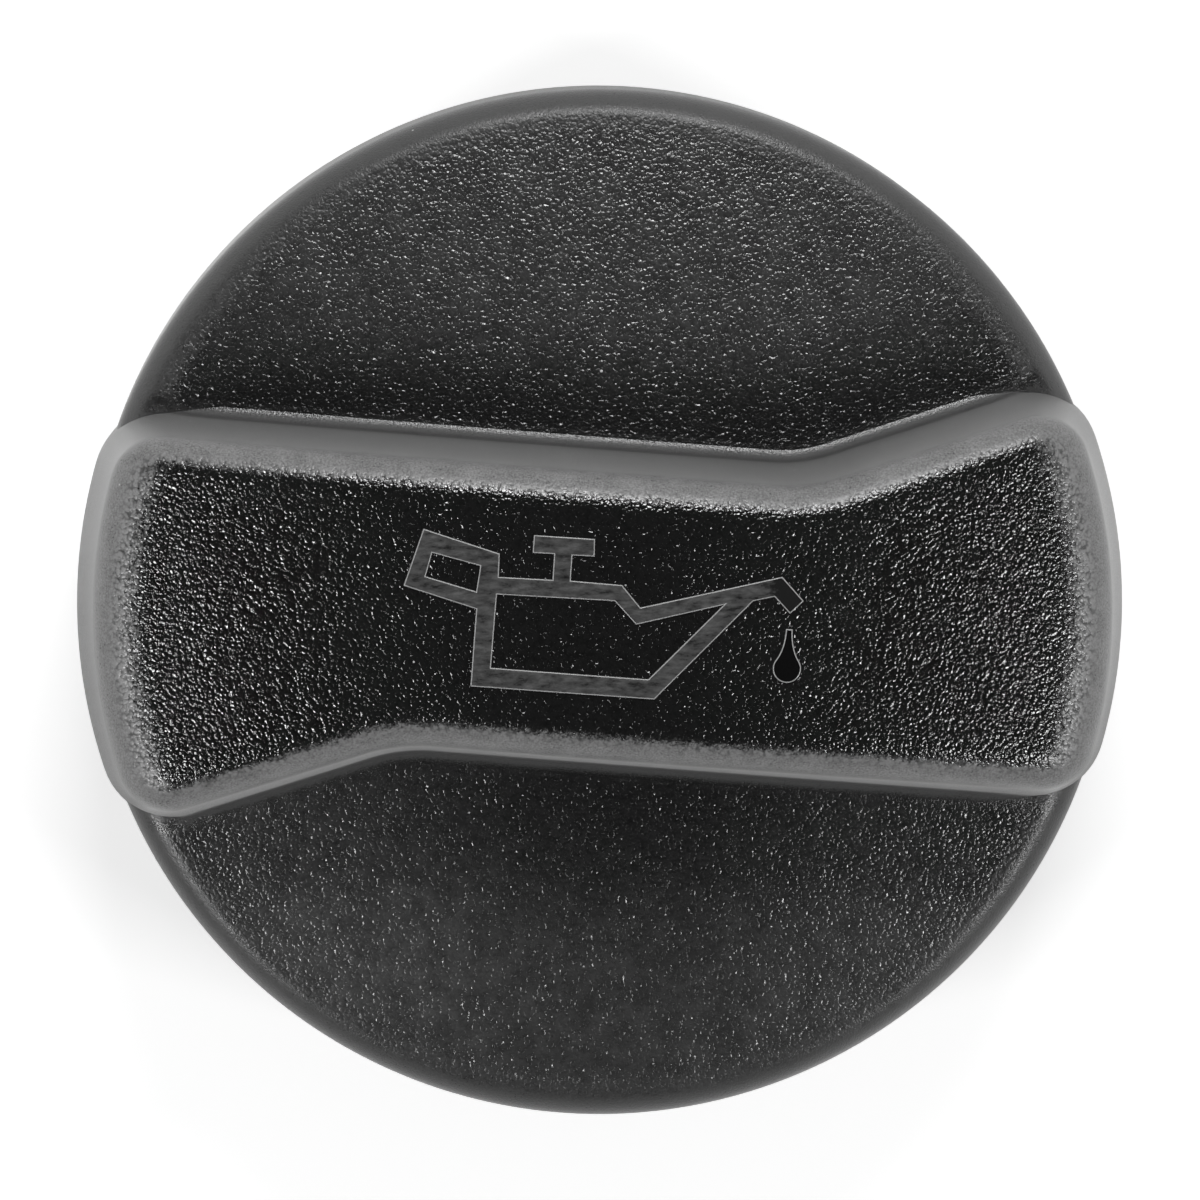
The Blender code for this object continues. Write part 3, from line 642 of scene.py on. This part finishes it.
for name, values in (
    ("painted_light_film", painted_light_film),
    ("grain_edge", np.where(smooth, -1.0, np.maximum(on_grip, on_disc) / MM)),
    ("grain_depth", np.where(smooth, -1.0, np.maximum(grip_depth, disc_depth))),
    ("grip_inset", np.where(inner, -1.0, grip_inset / MM)),
    ("root_shade", np.where(inner, 0.0, root_shade)),
):
    shell.data.attributes.new(name, "FLOAT", "POINT").data.foreach_set("value", values.astype(np.float32))
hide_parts("cap_shell")
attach(shell, "root")


# Oil-can sign: the usual outline of an oil can with a drop, moulded with the shell. It is engraved and
# polished in the tool, so it stands a tenth of a millimetre proud of the grip, flat, smooth and crisp, and
# its edges carry a painted highlight.
SIGN_RELIEF = 0.12 * MM
SIGN_ROUND = 0.05 * MM
SIGN_HIGHLIGHT_BAND = 0.02 * MM
SIGN_FOOT = 0.3 * MM
SIGN_POINT_SPACING = 0.25 * MM
CAN_OUTSIDE = (
    (-10.61, 5.21), (-11.78, 1.87), (-7.53, 0.51), (-7.87, -4.02), (2.89, -4.79), (8.69, 0.95), (9.94, 1.2),
    (10.85, 0.2), (11.66, 0.94), (10.4, 2.37), (2.08, 0.6), (1.0, 1.92), (-2.0, 2.18), (-1.9, 3.66),
    (-0.61, 3.59), (-0.58, 4.62), (-4.15, 4.85), (-4.23, 3.81), (-2.97, 3.74), (-3.07, 2.23), (-6.21, 2.4),
    (-6.15, 3.76),
)
CAN_HANDLE_WINDOW = ((-10.1, 3.8), (-7.29, 3.04), (-7.53, 1.54), (-10.49, 2.42))
CAN_BODY_WINDOW = ((-6.32, 1.37), (0.57, 0.98), (1.82, -0.4), (6.96, 0.74), (2.54, -3.61), (-6.67, -2.93))
DROP_CENTRE = (10.67 * MM, -3.02 * MM)
DROP_RADIUS = 0.83 * MM
DROP_HEIGHT = 2.32 * MM
DROP_TIP_HALF_WIDTH = 0.2 * MM
DROP_LEAN = math.radians(3.5)
DROP_SHOULDER = math.radians(35)
DROP_FLANK_START = 0.25
DROP_FLANK_END = 0.3
DROP_FLANK_STEPS = 14
DROP_BOTTOM_STEPS = 40
EDGE_STEPS = 4
SIGN_RUB_LENGTH = 1.1 * MM
SIGN_RUB_WIDTH = 0.4 * MM
SIGN_RUB_TURN = math.radians(12)
SIGN_RUB_SPAN = (0.3, 0.7)
SIGN_RUB_END = (9.6 * MM, 10.3 * MM)
SIGN_RUB_END_LOSS = 0.4
CAN_DARK = "#1c1c1c"
CAN_RUBBED = "#5a5a5a"
DROP_DARK = "#050505"
DROP_RUBBED = "#101010"
SIGN_EDGE_HIGHLIGHT = "#a4a4a4"
SIGN_ROUGHNESS = (0.22, 0.42)


def filled_in(corners):
    """A closed line through the corners with points at even steps of about SIGN_POINT_SPACING."""
    corners = np.array(corners) * MM
    pieces = []
    for start, end in zip(corners, np.roll(corners, -1, axis=0)):
        steps = max(2, round(np.linalg.norm(end - start) / SIGN_POINT_SPACING))
        pieces.append(np.linspace(start, end, steps, endpoint=False))
    return np.vstack(pieces)


def drop_outline():
    """A round bottom and two hollow flanks that meet it in a tangent and end in a blunt tip.

    Each flank is the cubic curve (1-t)^3 A + 3 t (1-t)^2 B + 3 t^2 (1-t) C + t^3 D from the circle to the
    tip, and DROP_LEAN then turns the whole line.
    """
    along = np.array((-math.sin(DROP_SHOULDER), math.cos(DROP_SHOULDER)))
    first = DROP_RADIUS * np.array((math.cos(DROP_SHOULDER), math.sin(DROP_SHOULDER)))
    last = np.array((DROP_TIP_HALF_WIDTH, DROP_HEIGHT))
    t = np.linspace(0, 1, DROP_FLANK_STEPS + 1)[:, None]
    flank = (
        (1 - t) ** 3 * first + 3 * t * (1 - t) ** 2 * (first + along * DROP_HEIGHT * DROP_FLANK_START)
        + 3 * t**2 * (1 - t) * (last - np.array((0, DROP_HEIGHT * DROP_FLANK_END))) + t**3 * last
    )
    bottom = arc((0, 0), DROP_RADIUS, -math.pi - DROP_SHOULDER, DROP_SHOULDER, DROP_BOTTOM_STEPS)
    other = (flank * (-1, 1))[::-1]
    line = np.vstack((bottom, flank[1:], other[:-1]))
    cosine, sine = math.cos(DROP_LEAN), math.sin(DROP_LEAN)
    return line @ np.array(((cosine, -sine), (sine, cosine))) + DROP_CENTRE


def drawn_in(line, distance):
    """A closed line moved to its left: each point goes by distance (n1 + n2) / (1 + n1.n2) of its edges."""
    ahead = np.roll(line, -1, axis=0) - line
    ahead /= np.linalg.norm(ahead, axis=1)[:, None]
    left = np.column_stack((-ahead[:, 1], ahead[:, 0]))
    before = np.roll(left, 1, axis=0)
    return line + distance * (left + before) / (1 + (left * before).sum(axis=1))[:, None]


def raised_sign(name, lines, material):
    """Flat-topped relief on the grip's crown: upright sides, a small quarter-round edge and a filled top.

    Each line keeps the solid on its left. Its rings rise from SIGN_FOOT below the crown, then at angle a
    move in by r (1 - cos a) while they lie r (1 - sin a) below the top. The attribute painted_highlight_edge
    is 1 on them and falls to 0 over SIGN_HIGHLIGHT_BAND of the top: a painted highlight on the edge. The
    filling's triangles are turned until they are compact, so that none spans the crown's curve.
    """
    turn = np.linspace(0, math.pi / 2, EDGE_STEPS + 1)
    shifts = np.array((0, *SIGN_ROUND * (1 - np.cos(turn)), SIGN_ROUND + SIGN_HIGHLIGHT_BAND))
    rises = np.array((-SIGN_FOOT, *SIGN_RELIEF - SIGN_ROUND * (1 - np.sin(turn)), SIGN_RELIEF))
    places, quads, feet, tops, first = [], [], [], [], 0
    for line in lines:
        rings = np.stack([drawn_in(line, shift) for shift in shifts])
        height = crown_height(rings[..., :1], GRIP_TOP) + rises[:, None, None]
        index = first + np.arange(len(shifts) * len(line)).reshape(len(shifts), len(line))
        ahead = np.roll(index, -1, axis=1)
        quads.append(np.stack((index[:-1], ahead[:-1], ahead[1:], index[1:]), axis=-1).reshape(-1, 4))
        places.append(np.concatenate((rings, height), axis=-1).reshape(-1, 3))
        feet.append(index[0])
        tops.append(index[-1])
        first += index.size
    places = np.vstack(places)
    faces = np.vstack(quads).tolist()
    for ends in (tops, feet):
        fill = np.array(tessellate_polygon([(places[ring] * (1, 1, 0)).tolist() for ring in ends]))
        corners = places[np.concatenate(ends)][fill]
        side_a, side_b = corners[:, 1] - corners[:, 0], corners[:, 2] - corners[:, 0]
        upward = side_a[:, 0] * side_b[:, 1] > side_a[:, 1] * side_b[:, 0]
        fill[upward != (ends is tops)] = fill[upward != (ends is tops)][:, ::-1]
        faces += np.concatenate(ends)[fill].tolist()
    # The edge rings carry a painted highlight, the top's own points none.
    bright = np.ones(len(places), np.float32)
    bright[np.concatenate(tops)] = 0
    mesh = bpy.data.meshes.new(name)
    mesh.from_pydata(places.tolist(), [], faces)
    compact = bmesh.new()
    compact.from_mesh(mesh)
    flat = [face for face in compact.faces if len(face.verts) == 3]
    within = [edge for edge in compact.edges if all(len(face.verts) == 3 for face in edge.link_faces)]
    bmesh.ops.beautify_fill(compact, faces=flat, edges=within, method="ANGLE")
    compact.to_mesh(mesh)
    compact.free()
    mesh.attributes.new("painted_highlight_edge", "FLOAT", "POINT").data.foreach_set("value", bright)
    mesh.materials.append(material)
    sign = bpy.data.objects.new(name, mesh)
    bpy.context.scene.collection.objects.link(sign)
    shade(sign)
    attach(sign, "root")


# Polished nylon: where the tool is polished the moulding is smooth and takes a dark gloss. Handling leaves
# it cloudy with faint rubs along the grip, and its edges carry a painted highlight. Past SIGN_RUB_END there
# are fewer rubs. Real rubs are hair-thin, too fine to show, so they are drawn as short clouds.
def polished_nylon(name, dark, pale):
    material, tree, shader, place = new_material(name)
    along = add_node(tree, "ShaderNodeMapping", {
        "Vector": place, "Scale": (1 / SIGN_RUB_LENGTH, 1 / SIGN_RUB_WIDTH, 1 / MM),
        "Rotation": (0, 0, SIGN_RUB_TURN),
    }).outputs["Vector"]
    rubs = add_node(tree, "ShaderNodeTexNoise", {
        "Vector": along, "Scale": 1.0, "Detail": 5.0, "Roughness": 0.7,
    }).outputs["Fac"]
    unrubbed = add_node(tree, "ShaderNodeMapRange", {
        "Value": add_node(tree, "ShaderNodeSeparateXYZ", {"Vector": place}).outputs["X"],
        "From Min": SIGN_RUB_END[0], "From Max": SIGN_RUB_END[1],
    }).outputs["Result"]
    worn = add_node(tree, "ShaderNodeMath", {
        0: unrubbed, 1: -SIGN_RUB_END_LOSS, 2: rubs,
    }, operation="MULTIPLY_ADD").outputs[0]
    amount = add_node(tree, "ShaderNodeMapRange", {
        "Value": worn, "From Min": SIGN_RUB_SPAN[0], "From Max": SIGN_RUB_SPAN[1],
    }).outputs["Result"]
    face = add_node(tree, "ShaderNodeMix", {
        "Factor": amount, "A": linear(dark), "B": linear(pale),
    }, data_type="RGBA").outputs["Result"]
    # The sign's edges are tinted pale as a painted highlight.
    edge = add_node(tree, "ShaderNodeAttribute", attribute_name="painted_highlight_edge").outputs["Fac"]
    colour = add_node(tree, "ShaderNodeMix", {
        "Factor": edge, "A": face, "B": linear(SIGN_EDGE_HIGHLIGHT),
    }, data_type="RGBA").outputs["Result"]
    tree.links.new(colour, shader.inputs["Base Color"])
    gloss = add_node(tree, "ShaderNodeMapRange", {
        "Value": amount, "To Min": SIGN_ROUGHNESS[0], "To Max": SIGN_ROUGHNESS[1],
    }).outputs["Result"]
    tree.links.new(gloss, shader.inputs["Roughness"])
    shader.inputs["IOR"].default_value = NYLON_IOR
    return material


raised_sign("oil_can_sign", (
    filled_in(CAN_OUTSIDE), filled_in(CAN_HANDLE_WINDOW), filled_in(CAN_BODY_WINDOW),
), polished_nylon("nylon_glass_filled_rubbed", CAN_DARK, CAN_RUBBED))
raised_sign("oil_drop_sign", (
    drop_outline(),
), polished_nylon("nylon_glass_filled_polished", DROP_DARK, DROP_RUBBED))


# Bayonet plug: second moulding of black nylon, snapped into the shell for good. Its flange backs the seal,
# its key fills the grip's hollow and takes the turning force, and its ribbed hub goes into the filler neck,
# where two lugs with ramps and stops draw the cap down.
PLUG_SEAT = 17.5 * MM
FLANGE_TOP = 20.0 * MM
FLANGE_RADIUS = 28.4 * MM
FLANGE_EDGE_ROUND = 0.4 * MM
HUB_RADIUS = 16.5 * MM
HUB_BORE = 14.3 * MM
HUB_END_CHAMFER = 0.5 * MM
HUB_ROOT_FILLET = 0.8 * MM
BEAD_MIDDLE = 13.2 * MM
BEAD_HALF_HEIGHT = 0.5 * MM
BEAD_REACH = 0.5 * MM
EDGE_BREAK = 0.15 * MM
LUG_INNER = 15.4 * MM
LUG_OUTER = 20.5 * MM
LUG_BOTTOM = 2.5 * MM
LUG_THICKNESS = 3.0 * MM
LUG_TIP_ROUND = 0.6 * MM
LUG_ANGLE = math.radians(56)
LUG_RAMP_RISE = 1.2 * MM
LUG_RAMP_SHARE = 0.5
STOP_OUTER = 18.5 * MM
STOP_TOP = 8.7 * MM
STOP_ANGLE = math.radians(8)
STOP_SETBACK = math.radians(1.5)
RIB_COUNT = 4
RIB_HALF_THICKNESS = 0.9 * MM
RIB_REACH = 15.4 * MM
RIB_RECESS = 4.0 * MM
KEY_INSET = 3.5 * MM
KEY_END_RADIUS = 27.1 * MM
KEY_WALL = 2.0 * MM
KEY_HEIGHT = 6.0 * MM
KEY_EDGE_ROUND = 0.5 * MM
LUG_STEPS = 40
STOP_STEPS = 8
PLUG_DARK = "#161617"
PLUG_PALE = "#2b2b2c"
PLUG_CLOUD_SIZE = 9.0 * MM
PLUG_CLOUD_SPAN = (0.3, 0.7)
PLUG_ROUGHNESS = (0.36, 0.48)
PLUG_BLAST_SIZE = 0.18 * MM
PLUG_BLAST_DEPTH = 0.012 * MM


def lug_solid(start):
    """A block swept over LUG_ANGLE. Its top rises by LUG_RAMP_RISE over the first half, then stays level."""
    sections = []
    for share in np.linspace(0, 1, LUG_STEPS + 1):
        top = LUG_BOTTOM + LUG_THICKNESS - LUG_RAMP_RISE * max(0.0, 1 - share / LUG_RAMP_SHARE)
        sections.append(rounded([
            (LUG_INNER, LUG_BOTTOM, 0),
            (LUG_OUTER, LUG_BOTTOM, LUG_TIP_ROUND),
            (LUG_OUTER, top, LUG_TIP_ROUND / 2),
            (LUG_INNER, top, 0),
        ]))
    return swept("bayonet_lug", np.stack(sections), start + np.linspace(0, LUG_ANGLE, LUG_STEPS + 1))


def stop_solid(start):
    """A short upright block on the lug's far end, against which the neck's rim comes to rest."""
    section = rounded([
        (LUG_INNER, LUG_BOTTOM + LUG_TIP_ROUND, 0),
        (STOP_OUTER, LUG_BOTTOM + LUG_TIP_ROUND, 0),
        (STOP_OUTER, STOP_TOP, LUG_TIP_ROUND),
        (LUG_INNER, STOP_TOP, 0),
    ])
    return swept("lug_stop", section, start + np.linspace(0, STOP_ANGLE, STOP_STEPS + 1))


def upright(name, line, bottom, top, edge_radius):
    """A line that keeps the solid on its left, carried up from a quarter-round lower edge to a flat top."""
    angles = np.linspace(math.pi / 2, 0, EDGE_STEPS + 1)
    steps = [(edge_radius * (1 - math.cos(a)), bottom + edge_radius * (1 - math.sin(a))) for a in angles]
    rings = []
    for shift, height in (*steps, (0, top)):
        level = drawn_in(line, shift)
        rings.append(np.column_stack((level, np.full(len(level), height))))
    return grid_object(name, np.stack(rings))


def torque_key():
    """The S outline KEY_INSET inside the grip's, as a wall: up outside, over a rounded top, down inside."""
    base, top = FLANGE_TOP - OVERLAP, FLANGE_TOP + KEY_HEIGHT
    section = rounded([
        (0, base, 0), (0, top, KEY_EDGE_ROUND),
        (KEY_WALL, top, KEY_EDGE_ROUND), (KEY_WALL, base, 0), (0, base, 0),
    ])
    rings = []
    for shift, height in section:
        level = grip_outline(KEY_INSET + shift, KEY_END_RADIUS - shift)[0]
        rings.append(np.column_stack((level, np.full(len(level), height))))
    return grid_object("torque_key", np.stack(rings))


# Unfilled nylon from a vapour-blasted tool: an even satin black, with faint clouds where the melt flowed
# and a soft sheen on its edges. The blast's pits, some hundredths of a millimetre, are too fine to show, so
# they are drawn as coarse as PLUG_BLAST_SIZE.
def plug_nylon():
    material, tree, shader, place = new_material("nylon_moulded_satin")
    flow = add_node(tree, "ShaderNodeTexNoise", {
        "Vector": place, "Scale": 1 / PLUG_CLOUD_SIZE, "Detail": 3.0, "Distortion": 0.6,
    }).outputs["Fac"]
    blast = add_node(tree, "ShaderNodeTexNoise", {
        "Vector": place, "Scale": 1 / PLUG_BLAST_SIZE, "Detail": 2.0, "Roughness": 0.6,
    }).outputs["Fac"]
    tint = add_node(tree, "ShaderNodeMix", {
        "Factor": flow, "A": linear(PLUG_DARK), "B": linear(PLUG_PALE),
    }, data_type="RGBA").outputs["Result"]
    tree.links.new(tint, shader.inputs["Base Color"])
    gloss = add_node(tree, "ShaderNodeMapRange", {
        "Value": flow, "From Min": PLUG_CLOUD_SPAN[0], "From Max": PLUG_CLOUD_SPAN[1],
        "To Min": PLUG_ROUGHNESS[0], "To Max": PLUG_ROUGHNESS[1],
    }).outputs["Result"]
    tree.links.new(gloss, shader.inputs["Roughness"])
    bumps = add_node(tree, "ShaderNodeBump", {
        "Height": blast, "Strength": 1.0, "Distance": PLUG_BLAST_DEPTH,
    }).outputs["Normal"]
    tree.links.new(bumps, shader.inputs["Normal"])
    shader.inputs["IOR"].default_value = NYLON_IOR
    return material


plug_profile = rounded([
    (0, FLANGE_TOP, 0),
    (FLANGE_RADIUS, FLANGE_TOP, FLANGE_EDGE_ROUND),
    (FLANGE_RADIUS, PLUG_SEAT, EDGE_BREAK),
    (HUB_RADIUS, PLUG_SEAT, EDGE_BREAK),
    (HUB_RADIUS, BEAD_MIDDLE + BEAD_HALF_HEIGHT, EDGE_BREAK),
    (HUB_RADIUS + BEAD_REACH, BEAD_MIDDLE, EDGE_BREAK),
    (HUB_RADIUS, BEAD_MIDDLE - BEAD_HALF_HEIGHT, EDGE_BREAK),
    (HUB_RADIUS, HUB_END_CHAMFER, EDGE_BREAK),
    (HUB_RADIUS - HUB_END_CHAMFER, 0, EDGE_BREAK),
    (HUB_BORE, 0, EDGE_BREAK),
    (HUB_BORE, PLUG_SEAT, HUB_ROOT_FILLET),
    (0, PLUG_SEAT, 0),
])
plug = turned("bayonet_plug_moulding", plug_profile[1:-1], plug_nylon())
for lug_start in (-LUG_ANGLE / 2, math.pi - LUG_ANGLE / 2):
    combine(plug, lug_solid(lug_start), "UNION")
    combine(plug, stop_solid(lug_start + LUG_ANGLE - STOP_SETBACK - STOP_ANGLE), "UNION")
arm = np.array((
    (RIB_REACH, -RIB_HALF_THICKNESS), (RIB_REACH, RIB_HALF_THICKNESS), (RIB_HALF_THICKNESS,) * 2,
))
ribs = []
for k in range(RIB_COUNT):
    turn = math.pi * (2 * k + 1) / RIB_COUNT
    cosine, sine = math.cos(turn), math.sin(turn)
    ribs.append(arm @ np.array(((cosine, sine), (-sine, cosine))))
combine(plug, upright("cross_ribs", np.vstack(ribs), RIB_RECESS, PLUG_SEAT + OVERLAP, EDGE_BREAK), "UNION")
combine(plug, torque_key(), "UNION")
shade(plug)
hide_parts("bayonet_plug")
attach(plug, "root")


# Seal ring: a flat ring of black nitrile rubber that lies loose round the hub, held up by the bead. The
# raised land on its outer half is what presses on the filler neck.
SEAL_TOP = 17.2 * MM
SEAL_BOTTOM = 14.0 * MM
SEAL_BORE = 16.8 * MM
SEAL_RADIUS = 24.5 * MM
LAND_BORE = 21.3 * MM
LAND_HEIGHT = 0.6 * MM
SEAL_EDGE_ROUND = 0.4 * MM
SEAL_BLACK = "#121213"
SEAL_BLOOM = "#2c2d2f"
SEAL_PATCH_SIZE = 5.0 * MM
SEAL_BLOOM_SPAN = (0.45, 0.75)
SEAL_ROUGHNESS = (0.6, 0.82)
SEAL_SKIN_SIZE = 0.12 * MM
SEAL_SKIN_DEPTH = 0.01 * MM
RUBBER_IOR = 1.52


# Nitrile rubber, pressed in a hot tool: dull and nearly black, with a grey bloom in soft patches and a fine
# matt skin. The skin's own grain is too fine to show, so it is drawn as coarse as SEAL_SKIN_SIZE.
def seal_rubber():
    material, tree, shader, place = new_material("rubber_nitrile_moulded")
    patches = add_node(tree, "ShaderNodeTexNoise", {
        "Vector": place, "Scale": 1 / SEAL_PATCH_SIZE, "Detail": 4.0, "Roughness": 0.6,
    }).outputs["Fac"]
    skin = add_node(tree, "ShaderNodeTexNoise", {
        "Vector": place, "Scale": 1 / SEAL_SKIN_SIZE, "Detail": 1.0,
    }).outputs["Fac"]
    bloom = add_node(tree, "ShaderNodeMapRange", {
        "Value": patches, "From Min": SEAL_BLOOM_SPAN[0], "From Max": SEAL_BLOOM_SPAN[1],
    }, interpolation_type="SMOOTHSTEP").outputs["Result"]
    tint = add_node(tree, "ShaderNodeMix", {
        "Factor": bloom, "A": linear(SEAL_BLACK), "B": linear(SEAL_BLOOM),
    }, data_type="RGBA").outputs["Result"]
    tree.links.new(tint, shader.inputs["Base Color"])
    gloss = add_node(tree, "ShaderNodeMapRange", {
        "Value": bloom, "To Min": SEAL_ROUGHNESS[0], "To Max": SEAL_ROUGHNESS[1],
    }).outputs["Result"]
    tree.links.new(gloss, shader.inputs["Roughness"])
    bumps = add_node(tree, "ShaderNodeBump", {
        "Height": skin, "Strength": 1.0, "Distance": SEAL_SKIN_DEPTH,
    }).outputs["Normal"]
    tree.links.new(bumps, shader.inputs["Normal"])
    shader.inputs["IOR"].default_value = RUBBER_IOR
    return material


land_root = SEAL_BOTTOM + LAND_HEIGHT
seal_section = rounded([
    (SEAL_BORE, SEAL_TOP, SEAL_EDGE_ROUND),
    (SEAL_RADIUS, SEAL_TOP, SEAL_EDGE_ROUND),
    (SEAL_RADIUS, SEAL_BOTTOM, SEAL_EDGE_ROUND),
    (LAND_BORE, SEAL_BOTTOM, SEAL_EDGE_ROUND / 2),
    (LAND_BORE, land_root, SEAL_EDGE_ROUND / 2),
    (SEAL_BORE, land_root, SEAL_EDGE_ROUND),
])
seal = turned("seal_ring_moulding", np.vstack((seal_section, seal_section[:1])), seal_rubber())
shade(seal)
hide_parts("seal_ring")
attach(seal, "root")


# Camera: looks almost straight down on the cap, a few degrees from above its left and upper side, from
# 0.6 m. PHOTO_SCALE is the photograph's pixels for each millimetre at the top of the disc.
PHOTO_SIDE = 1200
PHOTO_SCALE = 16.75
CAMERA_DISTANCE = 600 * MM
CAMERA_TILT = (0.018, 0.056)
CAP_CENTRE_PIXEL = (601.2, 606.2)

back = Vector((-math.sin(CAMERA_TILT[0]), math.sin(CAMERA_TILT[1]), 0))
back.z = math.sqrt(1 - back.length_squared)
up = (Vector((0, 1, 0)) - back * back.y).normalized()
right = up.cross(back)
aim = Vector((0, 0, DOME_TOP))
aim += right * ((PHOTO_SIDE / 2 - CAP_CENTRE_PIXEL[0]) / PHOTO_SCALE * MM)
aim += up * ((CAP_CENTRE_PIXEL[1] - PHOTO_SIDE / 2) / PHOTO_SCALE * MM)
lens = bpy.data.cameras.new("photo_camera")
lens.sensor_width = 36.0
lens.lens = lens.sensor_width * PHOTO_SCALE * CAMERA_DISTANCE / MM / PHOTO_SIDE
camera = bpy.data.objects.new("photo_camera", lens)
bpy.context.scene.collection.objects.link(camera)
turn = Matrix((right, up, back)).transposed().to_4x4()
camera.matrix_world = Matrix.Translation(aim + back * CAMERA_DISTANCE) @ turn
bpy.context.scene.camera = camera

# Studio: a pale table, soft boxes round the cap at half height and a dim room above, so that flat faces
# stay dark while rounds and walls pick up the boxes and the table.
# Each soft box has a name, azimuth and elevation in degrees, width and height in metres, and watts.
FLOOR_SIDE = 3.0
TABLE_WHITE = "#ececec"
TABLE_ROUGHNESS = 0.9
TABLE_SEEN_GLOW = 0.5
BOX_DISTANCE = 0.75
SOFT_BOXES = (
    ("back", 84, 52, 0.24, 0.14, 2.1),
    ("left", 207, 46, 0.17, 0.13, 1.65),
    ("right", 333, 46, 0.17, 0.13, 1.45),
)
TENT_GLOW = 1.05
TENT_FRONT_GLOW = 0.5
TENT_TOP_GLOW = 0.03
TENT_DEPTH_SPAN = (-0.8, 0.6)
TENT_HEIGHT_SPAN = (0.2, 0.8)


# Matt white lacquer: pale and without a highlight. It glows a little for the camera alone, so that the
# table is white in the picture without more light on the cap.
def floor_paint():
    material, tree, shader, place = new_material("table_matt_white_lacquer")
    shader.inputs["Base Color"].default_value = linear(TABLE_WHITE)
    shader.inputs["Roughness"].default_value = TABLE_ROUGHNESS
    rays = add_node(tree, "ShaderNodeLightPath")
    seen = add_node(tree, "ShaderNodeMath", {
        0: rays.outputs["Is Camera Ray"], 1: TABLE_SEEN_GLOW,
    }, operation="MULTIPLY").outputs[0]
    shader.inputs["Emission Color"].default_value = (1, 1, 1, 1)
    tree.links.new(seen, shader.inputs["Emission Strength"])
    return material


side = FLOOR_SIDE / 2
table = bpy.data.meshes.new("table")
corners = [(-side, -side, 0), (side, -side, 0), (side, side, 0), (-side, side, 0)]
table.from_pydata(corners, [], [(0, 1, 2, 3)])
table.materials.append(floor_paint())
floor = bpy.data.objects.new("table", table)
bpy.context.scene.collection.objects.link(floor)

for name, azimuth, elevation, width, height, power in SOFT_BOXES:
    light = bpy.data.lights.new(f"soft_box_{name}", "AREA")
    light.shape = "RECTANGLE"
    light.size = width
    light.size_y = height
    light.energy = power
    box = bpy.data.objects.new(f"soft_box_{name}", light)
    bpy.context.scene.collection.objects.link(box)
    a, e = math.radians(azimuth), math.radians(elevation)
    toward = Vector((math.cos(a) * math.cos(e), math.sin(a) * math.cos(e), math.sin(e)))
    box.location = toward * BOX_DISTANCE + Vector((0, 0, DOME_TOP))
    box.rotation_euler = toward.to_track_quat("Z", "Y").to_euler()

# Dim room: bright round the horizon behind the cap, darker in front of it and nearly black overhead. The
# camera sees it white.
world = bpy.data.worlds.new("dim_room")
bpy.context.scene.world = world
world.use_nodes = True
air = world.node_tree
direction = add_node(air, "ShaderNodeTexCoord").outputs["Generated"]
axes = add_node(air, "ShaderNodeSeparateXYZ", {"Vector": direction})
backward = add_node(air, "ShaderNodeMapRange", {
    "Value": axes.outputs["Y"], "From Min": TENT_DEPTH_SPAN[0], "From Max": TENT_DEPTH_SPAN[1],
    "To Min": TENT_FRONT_GLOW, "To Max": TENT_GLOW,
}, interpolation_type="SMOOTHSTEP").outputs["Result"]
tent = add_node(air, "ShaderNodeMapRange", {
    "Value": axes.outputs["Z"], "From Min": TENT_HEIGHT_SPAN[0], "From Max": TENT_HEIGHT_SPAN[1],
    "To Min": backward, "To Max": TENT_TOP_GLOW,
}, interpolation_type="SMOOTHSTEP").outputs["Result"]
rays = add_node(air, "ShaderNodeLightPath")
tone = add_node(air, "ShaderNodeMath", {
    0: rays.outputs["Is Camera Ray"], 1: tent,
}, operation="MAXIMUM").outputs[0]
air.links.new(tone, air.nodes["Background"].inputs["Strength"])
air.nodes["Background"].inputs["Color"].default_value = (1, 1, 1, 1)

bpy.context.scene.view_settings.view_transform = "Standard"
